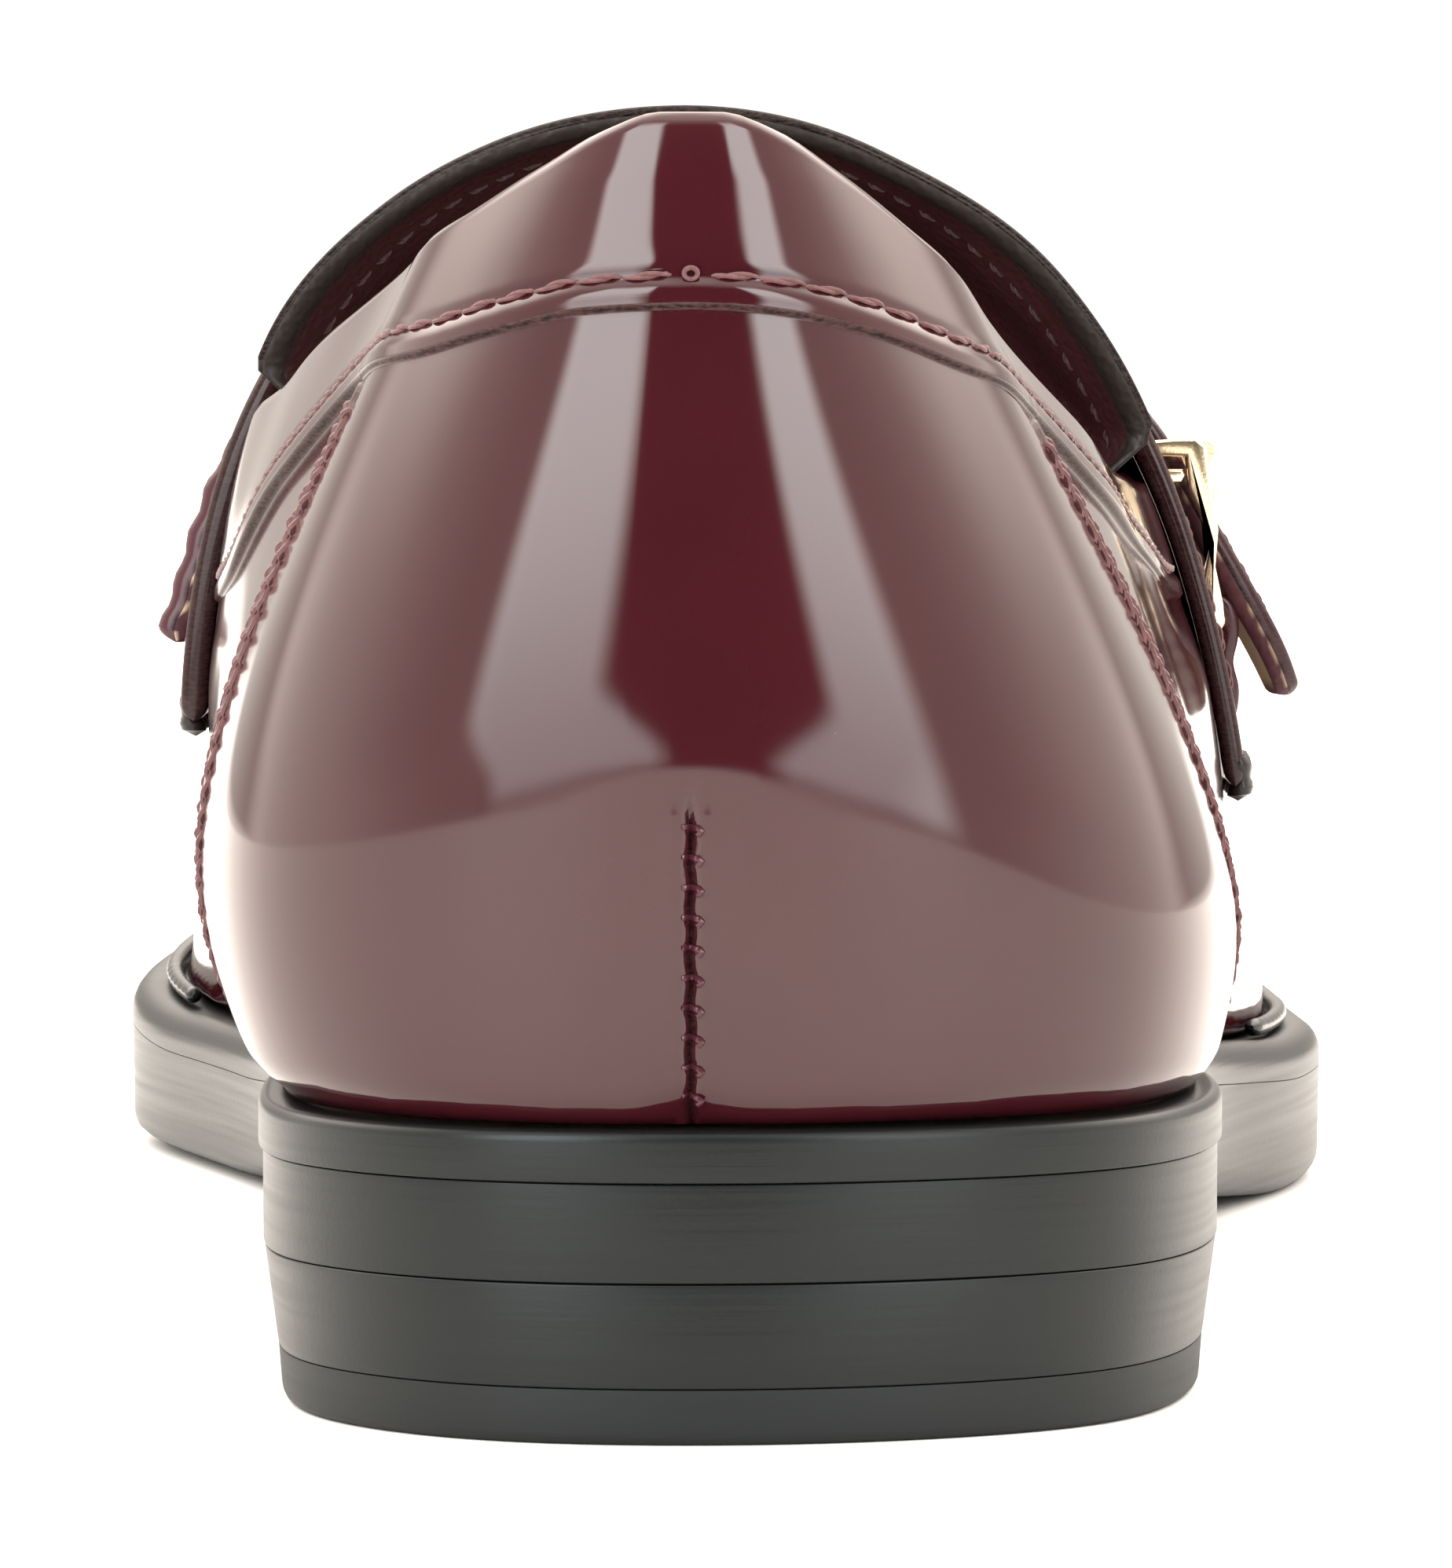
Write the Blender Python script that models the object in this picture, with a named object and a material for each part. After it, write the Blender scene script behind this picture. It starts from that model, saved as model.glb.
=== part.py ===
"""Right buckle loafer: hollow leather upper on a welted rubber sole, with tongue, saddle, strap and buckle.

The shoe stands on the plane Z = 0 with its toe towards +Y and its outer side towards +X.
The form is a last, written as sections across it from the heel to the toe. Every leather piece is
placed on that last's surface, and every sole layer is cut to that last's outline.
"""

import math
from collections import namedtuple

import bmesh
import bpy
import numpy as np

MM = 0.001

# Driving sizes, in millimetres: the sole's length, its width at the ball, the height over the instep and the
# height of the sole's top at the heel. The tables below describe the sample size and are graded to these.
LENGTH = 273.0
BALL_WIDTH = 101.3
INSTEP_HEIGHT = 86.8
HEEL_HEIGHT = 19.7
SAMPLE_LENGTH, SAMPLE_WIDTH, SAMPLE_INSTEP, SAMPLE_HEEL = 273.0, 101.3, 86.8, 19.7
GRADE_LENGTH = LENGTH / SAMPLE_LENGTH
GRADE_WIDTH = BALL_WIDTH / SAMPLE_WIDTH
GRADE_HEIGHT = INSTEP_HEIGHT / SAMPLE_INSTEP

# The middle of the shoe's box, which becomes the origin.
MIDDLE_X = -0.95 * GRADE_WIDTH
MIDDLE_Y = 135.65 * GRADE_LENGTH

LEATHER = 2.0
FIT = 0.3
COLLAR_BAND = 0.9
COUNTER = 0.5
SEAM_RIDGE = 1.2
SADDLE_LEATHER, SADDLE_GAP = 2.1, 0.35
STRAP_LEATHER = 2.2
TONGUE_LEATHER = 1.7

WELT_THICK = 3.3
TOP_PIECE_THICK = 3.5
INSOLE_THICK = 3.0
HEEL_BREAST = 62.0
BEAD_RADIUS, BEAD_START, BEAD_GAP = 0.85, 152.0, 0.5
WELD = 0.01

# Sections across the last. s runs from the heel's back towards the toe; the rest are distances from the
# section's own axis x to the inner (medial) and outer (lateral) side, with the height where each lies.
# bulge is the widest place, flank and shoulder are the handles of the curve from there to the crown.
Section = namedtuple(
    "Section",
    "s x edge_in edge_out bulge_in bulge_out bulge_z_in bulge_z_out"
    " flank_in flank_out flank_z_in flank_z_out shoulder_in shoulder_out shoulder_z crown_z",
)
SECTIONS = (
    Section(29, -2.2, 28.4, 34.4, 31.0, 34.0, 36, 34, 30.0, 30.0, 52, 50, 8.0, 6.0, 96.0, 100.0),
    Section(50, -2.4, 28.5, 35.0, 32.8, 36.1, 35, 32, 32.5, 33.2, 52, 49, 16.5, 13.5, 94.0, 96.0),
    Section(75, -2.6, 27.6, 34.5, 33.6, 37.4, 35, 31, 35.0, 34.8, 58, 54, 22.0, 19.0, 90.5, 92.0),
    Section(110, -3.0, 27.9, 37.6, 35.4, 40.5, 35, 31, 37.2, 38.2, 69, 67, 22.2, 21.2, 85.4, 85.4),
    Section(140, -2.6, 31.6, 41.2, 36.8, 41.0, 31, 30, 35.5, 37.0, 52, 53, 20.0, 21.5, 74.2, 74.0),
    Section(165, -1.8, 36.6, 47.8, 39.4, 43.8, 26, 25, 38.6, 40.6, 48, 47, 27.0, 29.5, 63.7, 63.5),
    Section(190, -2.0, 43.6, 51.7, 41.2, 46.4, 22, 21, 40.6, 43.0, 41, 40, 29.5, 31.0, 55.3, 55.0),
    Section(214, -3.5, 48.0, 50.9, 42.6, 46.6, 20, 21, 42.4, 45.0, 37, 38, 30.5, 31.5, 49.7, 49.7),
)
HEEL_AXIS, TOE_AXIS = SECTIONS[0].s, SECTIONS[-1].s

# The back of the heel and the tip of the toe: the same distances, taken along the shoe from the end axes.
End = namedtuple("End", "edge bulge bulge_z flank flank_z shoulder shoulder_z roundness")
HEEL_END = End(29.0, 30.2, 37, 31.0, 66, 22.0, 100.0, 2.1)
TOE_END = End(59.0, 55.3, 25, 54.6, 38, 33.0, 42.9, 2.15)
FAN_ANGLES = (30, 60, 90)

# Height of the sole's top, of the outsole's underside and the ledge between sole edge and upper, along s.
SoleRow = namedtuple("SoleRow", "s top under ledge")
SOLE = (
    SoleRow(0, 19.7, 10.1, 1.2),
    SoleRow(60, 19.7, 10.1, 1.2),
    SoleRow(80, 18.9, 9.2, 1.6),
    SoleRow(105, 17.1, 6.8, 2.2),
    SoleRow(130, 15.1, 3.6, 3.0),
    SoleRow(152, 13.5, 1.1, 3.8),
    SoleRow(170, 12.6, 0.0, 4.3),
    SoleRow(192, 12.6, 0.0, 4.5),
    SoleRow(214, 13.8, 1.2, 4.5),
    SoleRow(234, 16.0, 3.4, 4.4),
    SoleRow(255, 19.0, 6.4, 4.3),
    SoleRow(275, 22.4, 9.8, 4.3),
)

# Lines drawn on the upper, as heights along the way round it: u is 0 at the heel's back and runs along the
# outline, so that the inner and the outer side each have a row of their own.
# topline is the mouth's edge. line is the collar band's lower edge behind the saddle and the apron seam
# in front of it.
Line = namedtuple("Line", "u topline_in topline_out line_in line_out")
LINES = (
    Line(0, 83.2, 83.2, 70.9, 70.9),
    Line(3, 83.2, 83.2, 70.8, 70.8),
    Line(8, 82.1, 82.1, 70.5, 70.3),
    Line(14, 79.9, 79.6, 69.5, 69.2),
    Line(24, 76.9, 75.7, 67.8, 66.9),
    Line(36, 75.2, 72.9, 67.0, 65.4),
    Line(47, 74.2, 70.2, 66.1, 64.0),
    Line(68, 70.1, 64.4, 59.8, 58.6),
    Line(93, 66.2, 60.4, 52.2, 54.4),
    Line(112, 64.9, 59.5, 50.4, 51.6),
    Line(130, 64.2, 59.2, 49.8, 50.2),
    Line(137, 64.8, 60.0, 49.6, 49.6),
    Line(142, 68.0, 64.5, 49.4, 49.0),
    Line(148, 74.0, 72.5, 49.0, 48.2),
    Line(155, 90.0, 90.0, 48.0, 47.0),
    Line(183, 120.0, 120.0, 44.0, 42.8),
    Line(232, 120.0, 120.0, 38.4, 38.2),
    Line(310, 120.0, 120.0, 36.6, 36.6),
)
# The sole touches the ground from here on, and its edge there turns aslant on the inner side.
TREAD_START, TREAD_TURN, TREAD_SLANT = 170.0, -5.0, 0.3
# The counter's side seam slants from the collar band down to the sole. Stations beyond COUNTER_STILL stay.
COUNTER_TOP, COUNTER_FOOT, COUNTER_SWEEP, COUNTER_STILL = 45.0, 73.0, 0.62, 112.0
# How far round the collar band ends and the apron seam starts, under the saddle.
BAND_END, SEAM_START, SEAM_RISE = 128.0, 172.0, 3.0

COLUMN_STOPS = (
    (0.0, 3.0, 1),
    (3.0, 44.7, 9),
    (44.7, 45.5, 1),
    (45.5, 73.0, 4),
    (73.0, 127.7, 7),
    (127.7, 128.5, 1),
    (128.5, 157.0, 7),
    (157.0, 232.0, 8),
    (232.0, 310.6, 10),
)


class Spline:
    """A smooth curve through rows of numbers: natural at its ends, or closed where a period is given."""

    def __init__(self, stops, values, period=None):
        stops = np.asarray(stops, float)
        values = np.asarray(values, float).reshape(len(stops), -1)
        if period:
            stops = np.append(stops, stops[0] + period)
            values = np.vstack([values, values[:1]])
        self.stops, self.values, self.period = stops, values, period
        count = len(stops)
        gaps = np.diff(stops)
        slopes = np.diff(values, axis=0) / gaps[:, None]
        matrix = np.eye(count)
        right = np.zeros_like(values)
        for i in range(1, count - 1):
            matrix[i, i - 1 : i + 2] = gaps[i - 1], 2 * (gaps[i - 1] + gaps[i]), gaps[i]
            right[i] = 6 * (slopes[i] - slopes[i - 1])
        if period:
            matrix[0] = 0
            matrix[0, 0], matrix[0, 1], matrix[0, -2] = 2 * (gaps[0] + gaps[-1]), gaps[0], gaps[-1]
            right[0] = 6 * (slopes[0] - slopes[-1])
            matrix[-1, 0] = -1
        self.bends = np.linalg.solve(matrix, right)

    def at(self, places):
        """The values at each place, one row a place."""
        places = np.atleast_1d(np.asarray(places, float))
        if self.period:
            places = self.stops[0] + (places - self.stops[0]) % self.period
        places = np.clip(places, self.stops[0], self.stops[-1])
        index = np.clip(np.searchsorted(self.stops, places, side="right") - 1, 0, len(self.stops) - 2)
        low, high = self.stops[index], self.stops[index + 1]
        gap = high - low
        a, b = ((high - places) / gap)[:, None], ((places - low) / gap)[:, None]
        bend = ((a**3 - a) * self.bends[index] + (b**3 - b) * self.bends[index + 1]) * gap[:, None] ** 2 / 6
        return a * self.values[index] + b * self.values[index + 1] + bend


def steady(stops, values, places):
    """A curve through the values that never overshoots them: flat rows stay flat."""
    stops, values = np.asarray(stops, float), np.asarray(values, float)
    gaps, slopes = np.diff(stops), np.diff(values) / np.diff(stops)
    tangents = np.zeros(len(stops))
    for i in range(1, len(stops) - 1):
        if slopes[i - 1] * slopes[i] > 0:
            tangents[i] = 2 / (1 / slopes[i - 1] + 1 / slopes[i])
    tangents[0], tangents[-1] = slopes[0], slopes[-1]
    places = np.clip(np.asarray(places, float), stops[0], stops[-1])
    index = np.clip(np.searchsorted(stops, places, side="right") - 1, 0, len(stops) - 2)
    gap = gaps[index]
    t = (places - stops[index]) / gap
    return (
        values[index] * (1 + 2 * t) * (1 - t) ** 2
        + values[index + 1] * t * t * (3 - 2 * t)
        + tangents[index] * gap * t * (1 - t) ** 2
        - tangents[index + 1] * gap * t * t * (1 - t)
    )


def blend(x):
    """Goes smoothly from 0 to 1 as x does."""
    x = np.clip(x, 0, 1)
    return x * x * (3 - 2 * x)


def heel_lift(s):
    """How far a heel other than the sample's lifts the shoe: all of it at the heel, nothing at the tread."""
    return (HEEL_HEIGHT - SAMPLE_HEEL) * blend((TREAD_START - s) / (TREAD_START - HEEL_BREAST))


def graded(z, s):
    """A height of the sample at s, in the size made."""
    return np.asarray(z) * GRADE_HEIGHT + heel_lift(s)


def sole_row(name, s):
    return steady([row.s for row in SOLE], [getattr(row, name) for row in SOLE], s / GRADE_LENGTH)


def sole_top(s):
    return sole_row("top", s) + heel_lift(s)


def sole_under(s, x=0.0):
    """The underside. The tread line runs aslant: on the inner side it touches down further forward."""
    aslant = TREAD_SLANT * np.minimum(x - TREAD_TURN, 0.0)
    return sole_row("under", s + aslant) + heel_lift(s)


def ledge(s):
    return sole_row("ledge", s)


# Where the handles lie on the curve from feather edge to bulge: by share of the way, and of its height.
FOOT_HANDLE, BULGE_HANDLE = np.array((0.62, 0.62, 0.22)), 0.42
# Near the crown line the surface's direction is the crown line's own; it is measured over steps this long.
V_CROWN, V_STEP = 1.985, 0.025

# How far round the outline each station lies: a fan about the heel axis, the sections, a fan about the toe.
HEEL_FAN = math.pi / 2 * 30.0
TOE_FAN = math.pi / 2 * 50.0
TOE_START = HEEL_FAN + TOE_AXIS - HEEL_AXIS
ROUND = TOE_START + TOE_FAN


def superellipse(angle, across, along, power):
    """The distance from an end axis to its curve, at an angle from straight across."""
    c, s = abs(math.cos(angle)), abs(math.sin(angle))
    return ((c / across) ** power + (s / along) ** power) ** (-1 / power)


def fan_points(section, end, angle, sign, forward, toe_slope):
    """The control points (edge, bulge, flank, shoulder) at an angle from straight across."""
    side = "in" if sign < 0 else "out"
    across = {k: getattr(section, f"{k}_{side}") for k in ("edge", "bulge", "flank", "shoulder")}
    heights = {
        "bulge": getattr(section, f"bulge_z_{side}"),
        "flank": getattr(section, f"flank_z_{side}"),
        "shoulder": section.shoulder_z,
    }
    mean = {
        k: 0.5 * (getattr(section, f"{k}_in") + getattr(section, f"{k}_out")) for k in across
    }
    share = math.sin(angle) ** 2
    points = []
    for name in ("edge", "bulge", "flank", "shoulder"):
        half = across[name] + (mean[name] - across[name]) * math.sin(angle) ** 3
        reach = superellipse(angle, half, getattr(end, name), end.roundness)
        x = section.x + sign * reach * math.cos(angle)
        s = section.s + forward * reach * math.sin(angle)
        z = 0.0
        if name != "edge":
            z = heights[name] + (getattr(end, f"{name}_z") - heights[name]) * share
        if name == "shoulder" and forward > 0:
            z = section.crown_z + toe_slope * reach * math.sin(angle)
        points.append((x, s, z))
    return points


def section_points(section, sign):
    side = "in" if sign < 0 else "out"
    points = []
    for name in ("edge", "bulge", "flank", "shoulder"):
        x = section.x + sign * getattr(section, f"{name}_{side}")
        z = 0.0
        if name in ("bulge", "flank"):
            z = getattr(section, f"{name}_z_{side}")
        if name == "shoulder":
            z = section.shoulder_z
        points.append((x, section.s, z))
    return points


class Last:
    """The form that the shoe is built on: a surface over u, round the outline, and v, from edge to crown."""

    def __init__(self):
        self.crown_x = Spline([r.s for r in SECTIONS], [r.x for r in SECTIONS])
        self.crown_z = Spline([r.s for r in SECTIONS], [r.crown_z for r in SECTIONS])
        toe_slope = (TOE_END.shoulder_z - SECTIONS[-1].crown_z) / TOE_END.shoulder
        half = []
        for angle in reversed(FAN_ANGLES[:-1]):
            half.append((HEEL_FAN * (1 - angle / 90), SECTIONS[0], HEEL_END, math.radians(angle), -1))
        for section in SECTIONS:
            half.append((HEEL_FAN + section.s - HEEL_AXIS, section, None, 0.0, 0))
        for angle in FAN_ANGLES[:-1]:
            half.append((TOE_START + TOE_FAN * angle / 90, SECTIONS[-1], TOE_END, math.radians(angle), 1))
        rows = []
        for sign in (-1, 1):
            for u, section, end, angle, forward in half:
                if end:
                    points = fan_points(section, end, angle, sign, forward, toe_slope)
                else:
                    points = section_points(section, sign)
                rows.append((sign * u, points))
        rows.append((0.0, fan_points(SECTIONS[0], HEEL_END, math.pi / 2, 1, -1, toe_slope)))
        rows.append((ROUND, fan_points(SECTIONS[-1], TOE_END, math.pi / 2, 1, 1, toe_slope)))
        rows.sort(key=lambda row: row[0])
        stops = [row[0] for row in rows]
        self.controls = []
        for k in range(4):
            points = np.array([row[1][k] for row in rows]) * (GRADE_WIDTH, GRADE_LENGTH, GRADE_HEIGHT)
            points[:, 2] += heel_lift(points[:, 1])
            self.controls.append(Spline(stops, points, 2 * ROUND))

    def along(self, u):
        """Where on the crown line a station ends."""
        return np.clip(HEEL_AXIS + np.abs(u) - HEEL_FAN, HEEL_AXIS, TOE_AXIS) * GRADE_LENGTH

    def crown(self, u):
        s = self.along(u)
        x = self.crown_x.at(s / GRADE_LENGTH)[:, 0] * GRADE_WIDTH
        return np.stack([x, s, self.crest(s)], 1)

    def crest(self, s):
        """The crown line's height."""
        return graded(self.crown_z.at(s / GRADE_LENGTH)[:, 0], s)

    def outline(self, u, inset=0.0):
        """The sole's edge in plan, moved in towards the crown line by inset."""
        edge = self.controls[0].at(u)[:, :2]
        middle = self.crown(u)[:, :2]
        reach = np.linalg.norm(edge - middle, axis=1)
        return edge + (middle - edge) * (np.broadcast_to(inset, reach.shape) / reach)[:, None]

    def feather(self, u):
        """The upper's lower edge, a fit above the sole."""
        edge = self.controls[0].at(u)
        plan = self.outline(u, ledge(edge[:, 1]))
        return np.column_stack([plan, sole_top(plan[:, 1]) + FIT])

    def at(self, u, v):
        """Points of the surface: v is 0 at the feather edge, 1 at the bulge and 2 at the crown."""
        u, v = np.broadcast_arrays(np.atleast_1d(np.asarray(u, float)), np.asarray(v, float))
        shape = u.shape
        u, v = u.ravel(), v.ravel()
        feather, crown = self.feather(u), self.crown(u)
        bulge, flank, shoulder = (self.controls[k].at(u) for k in (1, 2, 3))
        rise = flank - bulge
        rise /= np.linalg.norm(rise, axis=1)[:, None]
        height = (bulge - feather)[:, 2:3]
        low = feather + (bulge - feather) * FOOT_HANDLE
        high = bulge - rise * BULGE_HANDLE * height
        t = np.clip(v, 0, 1)[:, None]
        below = bezier(t, feather, low, high, bulge)
        t = np.clip(v - 1, 0, 1)[:, None]
        above = bezier(t, bulge, flank, shoulder, crown)
        return np.where((v > 1)[:, None], above, below).reshape(*shape, 3)

    def normal(self, u, v):
        """The outward direction at each point."""
        u, v = np.broadcast_arrays(np.atleast_1d(np.asarray(u, float)), np.asarray(v, float))
        beside = np.minimum(v, V_CROWN)
        around = self.at(u + 0.5, beside) - self.at(u - 0.5, beside)
        v_high, v_low = np.minimum(v + V_STEP, V_CROWN), np.clip(v - V_STEP, 0, V_CROWN - V_STEP)
        up = self.at(u, v_high) - self.at(u, v_low)
        out = np.cross(around, up)
        out /= np.linalg.norm(out, axis=-1)[..., None]
        s = self.along(u.ravel())
        slope = (self.crest(s + 0.5) - self.crest(s - 0.5)).reshape(u.shape)
        over = np.stack([np.zeros_like(slope), -slope, np.ones_like(slope)], -1)
        over /= np.linalg.norm(over, axis=-1)[..., None]
        return np.where((v > V_CROWN - V_STEP / 2)[..., None], over, out)

    def level(self, u, z):
        """The v where each station reaches a height, or the crown if it never does."""
        u = np.atleast_1d(np.asarray(u, float))
        z = np.broadcast_to(z, u.shape)
        rows = np.linspace(0, 2, 161)
        heights = np.maximum.accumulate(self.at(u[:, None], rows[None, :])[..., 2], 1)
        return np.array([np.interp(want, row, rows) for want, row in zip(z, heights)])


def bezier(t, a, b, c, d):
    return (1 - t) ** 3 * a + 3 * t * (1 - t) ** 2 * b + 3 * t * t * (1 - t) * c + t**3 * d


LAST = Last()


def line_height(u, name):
    """The height of topline or line at each station, from the row of its own side."""
    u = np.atleast_1d(np.asarray(u, float))
    stops = [row.u for row in LINES]
    inner = steady(stops, [getattr(row, name + "_in") for row in LINES], np.abs(u))
    outer = steady(stops, [getattr(row, name + "_out") for row in LINES], np.abs(u))
    return graded(np.where(u < 0, inner, outer), LAST.along(u))


def station(s, sign):
    """The u of a section at s on one side."""
    return sign * (HEEL_FAN + s - HEEL_AXIS)


def place(points):
    """Millimetres of the last, in the shoe's own frame in metres."""
    return (np.asarray(points) - np.array((MIDDLE_X, MIDDLE_Y, 0.0))) * MM


# Materials and objects


def material(name, colour, roughness, metallic=0.0):
    made = bpy.data.materials.new(name)
    made.use_nodes = True
    shader = made.node_tree.nodes["Principled BSDF"]
    shader.inputs["Base Color"].default_value = (*colour, 1.0)
    shader.inputs["Roughness"].default_value = roughness
    shader.inputs["Metallic"].default_value = metallic
    return made


def finish(name, mesh_data, look, smooth=35.0):
    """Closes and orients a bmesh and makes it an object."""
    bmesh.ops.remove_doubles(mesh_data, verts=mesh_data.verts[:], dist=WELD * MM)
    bmesh.ops.dissolve_degenerate(mesh_data, edges=mesh_data.edges[:], dist=WELD * MM)
    bmesh.ops.triangulate(mesh_data, faces=mesh_data.faces[:])
    bmesh.ops.recalc_face_normals(mesh_data, faces=mesh_data.faces[:])
    mesh = bpy.data.meshes.new(name)
    mesh_data.to_mesh(mesh)
    mesh_data.free()
    mesh.shade_smooth()
    mesh.set_sharp_from_angle(angle=math.radians(smooth))
    mesh.materials.append(look)
    made = bpy.data.objects.new(name, mesh)
    bpy.context.scene.collection.objects.link(made)
    return made


def grid(mesh_data, places):
    """Adds a grid of faces through an array of points, rows by columns, and returns its vertices."""
    rows, columns = places.shape[:2]
    made = bmesh.ops.create_grid(mesh_data, x_segments=columns - 1, y_segments=rows - 1, size=0.5)
    for vertex in made["verts"]:
        i = round((vertex.co.x + 0.5) * (columns - 1))
        j = round((vertex.co.y + 0.5) * (rows - 1))
        vertex.co = place(places[j, i])
    return made["verts"]


def between(inner, outer):
    """A closed solid between two grids of the same size."""
    mesh_data = bmesh.new()
    grid(mesh_data, inner)
    grid(mesh_data, outer)
    for edge in ((0, slice(None)), (-1, slice(None)), (slice(None), 0), (slice(None), -1)):
        grid(mesh_data, np.stack([inner[edge], outer[edge]]))
    return mesh_data


def columns():
    """Stations round the upper, closer together where its lines turn."""
    half = [0.0]
    for start, end, count in COLUMN_STOPS:
        half += list(np.linspace(start, end, count + 1)[1:])
    half = np.array(half)
    half[-1] = ROUND
    return np.concatenate([-half[:0:-1], half])


def slanted(u, share):
    """Stations moved so that those at the counter's seam slant from its top to its foot."""
    seam = COUNTER_TOP + (COUNTER_FOOT - COUNTER_TOP) * (1 - share) ** COUNTER_SWEEP
    stops = (0, COUNTER_TOP, COUNTER_STILL, ROUND)
    return np.sign(u) * np.interp(np.abs(u), stops, (0, seam, COUNTER_STILL, ROUND))


# The upper


# Rows of the upper's wall. below: a share of the height from sole to line. line: a distance above the line.
# above: a share of the way from BAND_START to the top. band and ridge are shares of those reliefs.
BAND_START = 0.06
Row = namedtuple("Row", "kind share band ridge")
OUTER_ROWS = (
    Row("below", 0.0, 0, 0),
    Row("below", 0.12, 0, 0),
    Row("below", 0.28, 0, 0),
    Row("below", 0.46, 0, 0),
    Row("below", 0.64, 0, 0),
    Row("below", 0.82, 0, 0),
    Row("line", -1.2, 0, 0),
    Row("line", -0.15, 0, 1),
    Row("line", 0.15, 1, 1),
    Row("line", 1.3, 1, 0),
    Row("above", 0.25, 1, 0),
    Row("above", 0.5, 1, 0),
    Row("above", 0.75, 1, 0),
    Row("above", 1.0, 1, 0),
)
INNER_ROWS = tuple(Row("below", share, 0, 0) for share in (0.0, 0.2, 0.45, 0.72, 1.0)) + tuple(
    Row("above", share, 0, 0) for share in (0.2, 0.4, 0.6, 0.8, 1.0)
)


def row_place(u, row):
    """Stations and v of one row of the wall."""
    stations = slanted(u, row.share if row.kind == "below" else 1.0)
    line = line_height(stations, "line")
    v_line = LAST.level(stations, line)
    if row.kind == "below":
        foot = LAST.feather(stations)[:, 2]
        v = np.minimum(LAST.level(stations, foot + (line - foot) * row.share), v_line)
        return stations, v * (row.share > 0)
    if row.kind == "line":
        return stations, LAST.level(stations, line + row.share)
    v_top = LAST.level(stations, line_height(stations, "topline"))
    return stations, v_line + (v_top - v_line) * (BAND_START + (1 - BAND_START) * row.share)


def relief(u, row):
    """How far one row of the outer wall stands off the last: counter, collar band and apron seam."""
    reach = np.abs(u)
    band = row.band * COLLAR_BAND * (reach < BAND_END)
    ridge = row.ridge * SEAM_RIDGE * np.clip((reach - SEAM_START) / SEAM_RISE, 0, 1)
    counter = COUNTER * (row.band == 0) * (reach < COUNTER_TOP)
    return band + ridge + counter


def wall(u, rows, thickness):
    """The points of one face of the upper's wall, row by row."""
    points = []
    for row in rows:
        stations, v = row_place(u, row)
        off = relief(u, row) if thickness == 0 else np.full(u.shape, -thickness)
        points.append(LAST.at(stations, v) + LAST.normal(stations, v) * off[:, None])
    points[0][:, 2] = LAST.feather(slanted(u, 0.0))[:, 2]
    return np.array(points)


def make_upper(look):
    u = columns()
    outer, inner = wall(u, OUTER_ROWS, 0.0), wall(u, INNER_ROWS, LEATHER)
    mesh_data = bmesh.new()
    grid(mesh_data, outer)
    grid(mesh_data, inner)
    grid(mesh_data, np.stack([outer[0], inner[0]]))
    stations = slanted(u, 1.0)
    open_top = LAST.level(stations, line_height(stations, "topline")) < 1.9999
    first, last = np.flatnonzero(open_top)[[0, -1]]
    mouth = slice(first - 1, last + 2)
    grid(mesh_data, np.stack([outer[-1, mouth], inner[-1, mouth]]))
    return finish("upper", mesh_data, look)


# Pieces that lie across the instep


def across(q, s, low_in, low_out):
    """Stations and v for shares q across the instep, from -1 low on the inner side to 1 low on the outer."""
    u = np.where(q < 0, station(s, -1), station(s, 1))
    v_low = LAST.level(u, graded(np.where(q < 0, low_in, low_out), LAST.along(u)))
    return u, 2 - np.abs(q) * (2 - v_low)


def band_grid(rear, front, low_in, low_out, counts, offset):
    """A grid on the last between two edges across the instep. Each argument is a function of q."""
    shares, steps = counts
    q = np.linspace(-1, 1, shares + 1)
    rows = []
    for f in np.linspace(0, 1, steps + 1):
        s = rear(q) + (front(q) - rear(q)) * f
        u, v = across(q, s, low_in, low_out)
        rows.append(LAST.at(u, v) + LAST.normal(u, v) * offset(q, s, u, v)[:, None])
    return np.array(rows)


def band_solid(name, look, rear, front, low, counts, under, thick):
    grids = [
        band_grid(rear, front, *low, counts, lambda q, s, u, v, extra=extra: under(q, s, u, v) + extra)
        for extra in (0.0, thick)
    ]
    return finish(name, between(*grids), look)


TONGUE_EDGE, TONGUE_FRONT = 107.0, 154.0
TONGUE_LOW = (57.0, 51.0)
TONGUE_FREE, TONGUE_TUCKED, TUCK = 117.5, 126.0, 0.6
# How far the tongue's rear edge curls off the last, by its share of the way across the instep.
TONGUE_CURL = (
    (-1.0, 2.8), (-0.8, 2.8), (-0.5, 1.2), (-0.3, 0.7), (0.0, 0.6), (0.3, 0.6), (0.6, 2.2), (0.85, 2.9), (1.0, 2.6),
)
SADDLE_REAR, SADDLE_FRONT = 115.0, 152.0
SADDLE_LOW = (40.5, 35.5)


def tongue_under(q, s, u, v):
    """The tongue is tucked under the quarters and the vamp, and comes out of the mouth behind them."""
    opening = line_height(u + 4 * np.sign(u), "topline")
    free = blend((TONGUE_TUCKED - s) / (TONGUE_TUCKED - TONGUE_FREE))
    free = free * blend((LAST.at(u, v)[:, 2] - opening - 1.0) / 3.5)
    curl = steady(*np.array(TONGUE_CURL).T, q) * blend((TONGUE_FREE - 3.0 - s) / 7.0)
    return (curl - 0.05) * free - (LEATHER + FIT + TUCK) * (1 - free) - TONGUE_LEATHER


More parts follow.
